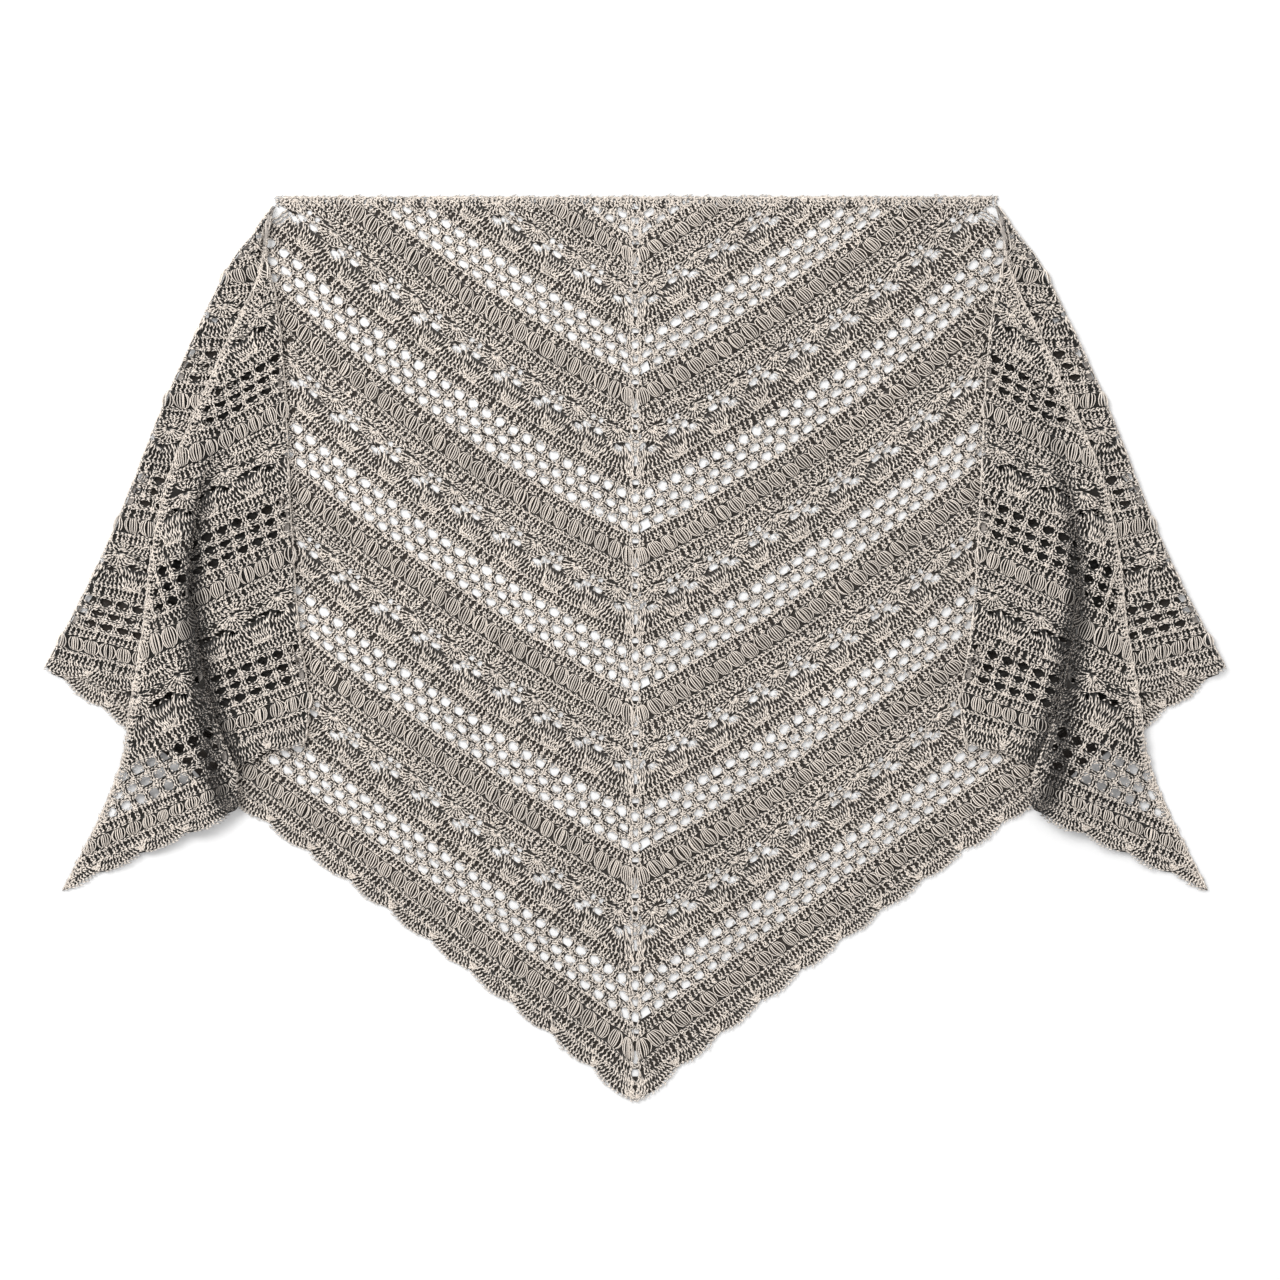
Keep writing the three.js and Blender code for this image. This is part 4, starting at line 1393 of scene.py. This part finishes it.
def yarn_group() -> bpy.types.NodeTree:
    """Make, once, the group that colours and twists the yarn and paints its shade by depth.

    Returns:
        The node group, with inputs for the two colours, the roughness, the place on the
        strand, the depth in the cloth and the strand's own tint.
    """
    if "yarn" in _GROUPS:
        return _GROUPS["yarn"]
    tree = bpy.data.node_groups.new("ply_yarn", "ShaderNodeTree")
    face = tree.interface
    for label, kind in (("Light", "NodeSocketColor"), ("Dark", "NodeSocketColor"),
                        ("Roughness", "NodeSocketFloat"), ("Strand", "NodeSocketVector"),
                        ("Depth", "NodeSocketFloat"), ("Tint", "NodeSocketFloat")):
        face.new_socket(label, in_out="INPUT", socket_type=kind)
    for label, kind in (("Color", "NodeSocketColor"), ("Roughness", "NodeSocketFloat"),
                        ("Relief", "NodeSocketFloat")):
        face.new_socket(label, in_out="OUTPUT", socket_type=kind)
    nodes, links = tree.nodes, tree.links
    source, sink = nodes.new("NodeGroupInput"), nodes.new("NodeGroupOutput")

    def maths(kind: str, a: object, b: object = 0.0, c: object = 0.0) -> bpy.types.NodeSocket:
        """Add a Math node whose inputs are numbers or sockets, and give its output."""
        node = nodes.new("ShaderNodeMath")
        node.operation = kind
        for slot, value in zip(node.inputs, (a, b, c)):
            if isinstance(value, bpy.types.NodeSocket):
                links.new(value, slot)
            else:
                slot.default_value = value
        return node.outputs[0]

    def noise(scale: float, detail: float) -> bpy.types.NodeSocket:
        """Add a Noise Texture node in the cloth's own space, and give its output."""
        node = nodes.new("ShaderNodeTexNoise")
        node.inputs["Scale"].default_value = scale
        node.inputs["Detail"].default_value = detail
        links.new(place.outputs["Object"], node.inputs["Vector"])
        return node.outputs["Fac"]

    split = nodes.new("ShaderNodeSeparateXYZ")
    links.new(source.outputs["Strand"], split.inputs[0])
    turns = maths("MULTIPLY_ADD", split.outputs["X"], 1 / PLY_LENGTH, split.outputs["Y"])
    ply = maths("MULTIPLY_ADD", maths("SINE", maths("MULTIPLY", turns, 4 * math.pi)), 0.5, 0.5)
    place = nodes.new("ShaderNodeTexCoord")
    fluff, broad = noise(FLUFF_SCALE, 1.0), noise(BROAD_SCALE, 2.0)
    # Painted shade: the colour runs from dark to light with depth in the cloth, and darker in the
    # ply grooves
    lit = nodes.new("ShaderNodeMapRange")
    lit.interpolation_type = "SMOOTHSTEP"
    lit.inputs["From Min"].default_value = UNLIT_DEPTH
    lit.inputs["From Max"].default_value = LIT_DEPTH
    links.new(source.outputs["Depth"], lit.inputs["Value"])
    shade = maths("MULTIPLY", lit.outputs[0],
                  maths("MULTIPLY_ADD", ply, PLY_SHADE, 1.0 - PLY_SHADE))
    colour = nodes.new("ShaderNodeMix")
    colour.data_type = "RGBA"
    links.new(shade, colour.inputs["Factor"])
    links.new(source.outputs["Dark"], colour.inputs["A"])
    links.new(source.outputs["Light"], colour.inputs["B"])
    value = maths("MULTIPLY_ADD", source.outputs["Tint"], TINT_SPREAD, 1.0 - TINT_SPREAD / 2)
    for texture, spread in ((broad, BROAD_SPREAD), (fluff, FLUFF_SPREAD)):
        value = maths("MULTIPLY_ADD", maths("SUBTRACT", texture, 0.5), spread, value)
    tone = nodes.new("ShaderNodeHueSaturation")
    links.new(value, tone.inputs["Value"])
    links.new(colour.outputs["Result"], tone.inputs["Color"])
    links.new(tone.outputs["Color"], sink.inputs["Color"])
    links.new(maths("MULTIPLY_ADD", fluff, FLUFF_ROUGHNESS, source.outputs["Roughness"]),
              sink.inputs["Roughness"])
    links.new(maths("MULTIPLY_ADD", fluff, FLUFF_RELIEF, ply), sink.inputs["Relief"])
    _GROUPS["yarn"] = tree
    return tree


# Each finish's dark colour is painted shade deep between the strands
FRONT_YARN = YarnFinish("taupe_yarn", (0.86, 0.782, 0.706), (0.028, 0.021, 0.017))
GROUND_YARN = YarnFinish("taupe_ground", (0.5, 0.455, 0.42), (0.035, 0.028, 0.023), 0.95)
# Painted shade: a darker ground for the turned-over stretches, for the shade of the layers beneath
# them
TURNED_SHADED_GROUND = YarnFinish("taupe_ground_turned_painted_shade", (0.5, 0.455, 0.42), (0.012, 0.01, 0.008), 0.95)


@dataclass
class Stretch:
    """One stretch of the shawl: its ground and the stitches worked over it.

    Attributes:
        node: The solid that it stands for.
        surface: Its form.
        seed: Seed of its random draws.
        bands: Line numbers at which its stitches are split into pieces.
        flat: Width and length of its flat cut, in metres; not used.
        area: Area of the cut, in square metres; not used.
        rests_on: What it lies on; not used.
        both_ways: True where the courses run both ways from the spine.
        edge: Its free edge, where it has one that shows.
        ground: Finish of its ground.
    """

    node: str
    surface: Surface
    seed: int
    bands: tuple[float, ...]
    flat: tuple[float, float]
    area: float
    rests_on: tuple[str, ...] = ()
    both_ways: bool = False
    edge: Surface | None = None
    ground: YarnFinish = GROUND_YARN

    def build(self, materials: dict[YarnFinish, bpy.types.Material]) -> bpy.types.Object:
        """Build the ground and the stitches, hang them under the root body, and hide the solid.

        Args:
            materials: The material of each finish.

        Returns:
            The ground, which stands for the solid.
        """
        first, last = self.bands[0], self.bands[-1]
        courses = courses_between(first - GROUND_LEAD, last)
        sheet = Ground(self.surface, self.both_ways).build(
            f"{self.node}_ground", [c for c in courses if c.end > first], materials[self.ground])
        stitches = []
        yarn = materials[FRONT_YARN]
        for i, (low, high) in enumerate(zip(self.bands, self.bands[1:])):
            work = Crochet(self.surface, self.seed + i, both_ways=self.both_ways)
            for course in courses_between(low, high):
                work.work(course)
            stitches.append(work.sweep(f"{self.node}_stitches_{i + 1}", yarn))
        if self.edge is not None:
            border = Border(self.edge, self.seed + 9)
            border.work_edge()
            stitches.append(border.sweep(f"{self.node}_edge", yarn))
        for piece in stitches:
            LOG.info("%s: %d triangles", piece.name, len(piece.data.polygons))
        for piece in (sheet, *stitches):
            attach(piece, "root")
        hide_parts(self.node)
        LOG.info("%s: %d triangles", sheet.name, len(sheet.data.polygons))
        return sheet


def stretches() -> list[Stretch]:
    """List the stretches of the shawl that show."""
    # The contrast given to each surface sets how strong its painted shade is
    result = [Stretch("centre_panel", PanelSurface(), 10, (0.1, 2.0, 3.0, 4.0, 5.0, 6.0, 8.0),
                      (0.94, 0.754), 0.49, both_ways=True, edge=PanelEdge(contrast=1.7))]
    rows = (FOLD_LINE, HEM_LINE)
    for name, mirrored, seed in (("left", True, 40), ("right", False, 70)):
        result.append(Stretch(f"{name}_turned_back", TurnedBack(mirrored, 1.5), seed, rows,
                              (0.15, 0.44), 0.052, ("centre_panel_ground",), ground=TURNED_SHADED_GROUND))
        end = TurnedEnd(mirrored, 1.5)
        result.append(Stretch(f"{name}_end", end, seed + 10, rows, (0.25, 0.6), 0.062,
                              (f"{name}_turned_back_ground",), ground=TURNED_SHADED_GROUND,
                              edge=EndEdge(mirrored, 1.4, end)))
    return result


@dataclass
class Studio:
    """A plain pale floor, soft light and a camera that looks straight down.

    Attributes:
        centre: Point of the table in the middle of the picture, in metres.
        width: Width of table that the picture takes in, in metres.
        distance: Height of the camera, in metres.
        floor_half: Half the width of the floor, in metres.
        floor_colour: Linear colour of the floor.
        floor_roughness: Roughness of the floor.
        sky_colour: Linear colour of the sky.
        sky_strength: Strength of its light.
        lamp_colour: Linear colour of the lamp.
        lamp_power: Power of the lamp, in watts.
        lamp_width: Width of the lamp, in metres.
        lamp_place: Where the lamp is, in metres.
    """

    centre: tuple[float, float] = (0.004, 0.009)
    width: float = 1.0624
    distance: float = 2.6
    floor_half: float = 3.0
    floor_colour: tuple[float, float, float] = (0.755, 0.76, 0.77)
    floor_roughness: float = 0.9
    sky_colour: tuple[float, float, float] = (1.0, 0.995, 0.985)
    sky_strength: float = 0.96
    lamp_colour: tuple[float, float, float] = (1.0, 0.99, 0.975)
    lamp_power: float = 92.0
    lamp_width: float = 2.0
    lamp_place: tuple[float, float, float] = (-1.5, 1.6, 2.6)

    def build(self) -> None:
        """Build the floor, the lights and the camera."""
        self.floor()
        self.lights()
        self.camera()

    def floor(self) -> None:
        """Lay a white floor under the shawl."""
        mesh = bpy.data.meshes.new("floor")
        half = self.floor_half
        corners = [(-half, -half, 0), (half, -half, 0), (half, half, 0), (-half, half, 0)]
        mesh.from_pydata(corners, [], [(0, 1, 2, 3)])
        material = bpy.data.materials.new("white_floor")
        material.use_nodes = True
        shader = material.node_tree.nodes["Principled BSDF"]
        shader.inputs["Base Color"].default_value = (*self.floor_colour, 1.0)
        shader.inputs["Roughness"].default_value = self.floor_roughness
        mesh.materials.append(material)
        floor = bpy.data.objects.new("floor", mesh)
        bpy.context.scene.collection.objects.link(floor)

    def lights(self) -> None:
        """Light the scene with a pale sky and a broad soft lamp from the upper left."""
        world = bpy.data.worlds.new("pale_sky")
        world.use_nodes = True
        sky = world.node_tree.nodes["Background"]
        sky.inputs["Color"].default_value = (*self.sky_colour, 1.0)
        sky.inputs["Strength"].default_value = self.sky_strength
        bpy.context.scene.world = world
        lamp = bpy.data.lights.new("window", "AREA")
        lamp.shape = "DISK"
        lamp.size = self.lamp_width
        lamp.energy = self.lamp_power
        lamp.color = self.lamp_colour
        holder = bpy.data.objects.new("window", lamp)
        holder.location = self.lamp_place
        holder.rotation_euler = (-holder.location).to_track_quat("-Z", "Y").to_euler()
        bpy.context.scene.collection.objects.link(holder)

    def camera(self) -> None:
        """Hang the camera over the shawl."""
        lens = bpy.data.cameras.new("camera")
        lens.sensor_width = 36.0
        lens.lens = 36.0 * self.distance / self.width
        lens.clip_start = 0.05
        holder = bpy.data.objects.new("camera", lens)
        holder.location = (*self.centre, self.distance)
        bpy.context.scene.collection.objects.link(holder)
        bpy.context.scene.camera = holder
        bpy.context.scene.view_settings.view_transform = "Standard"


def main() -> None:
    """Build the studio and every stretch of the shawl."""
    logging.basicConfig(level=logging.INFO, format="%(message)s")
    Studio().build()
    materials = {finish: finish.build() for finish in (FRONT_YARN, GROUND_YARN, TURNED_SHADED_GROUND)}
    for stretch in stretches():
        stretch.build(materials)


if __name__ == "__main__":
    main()
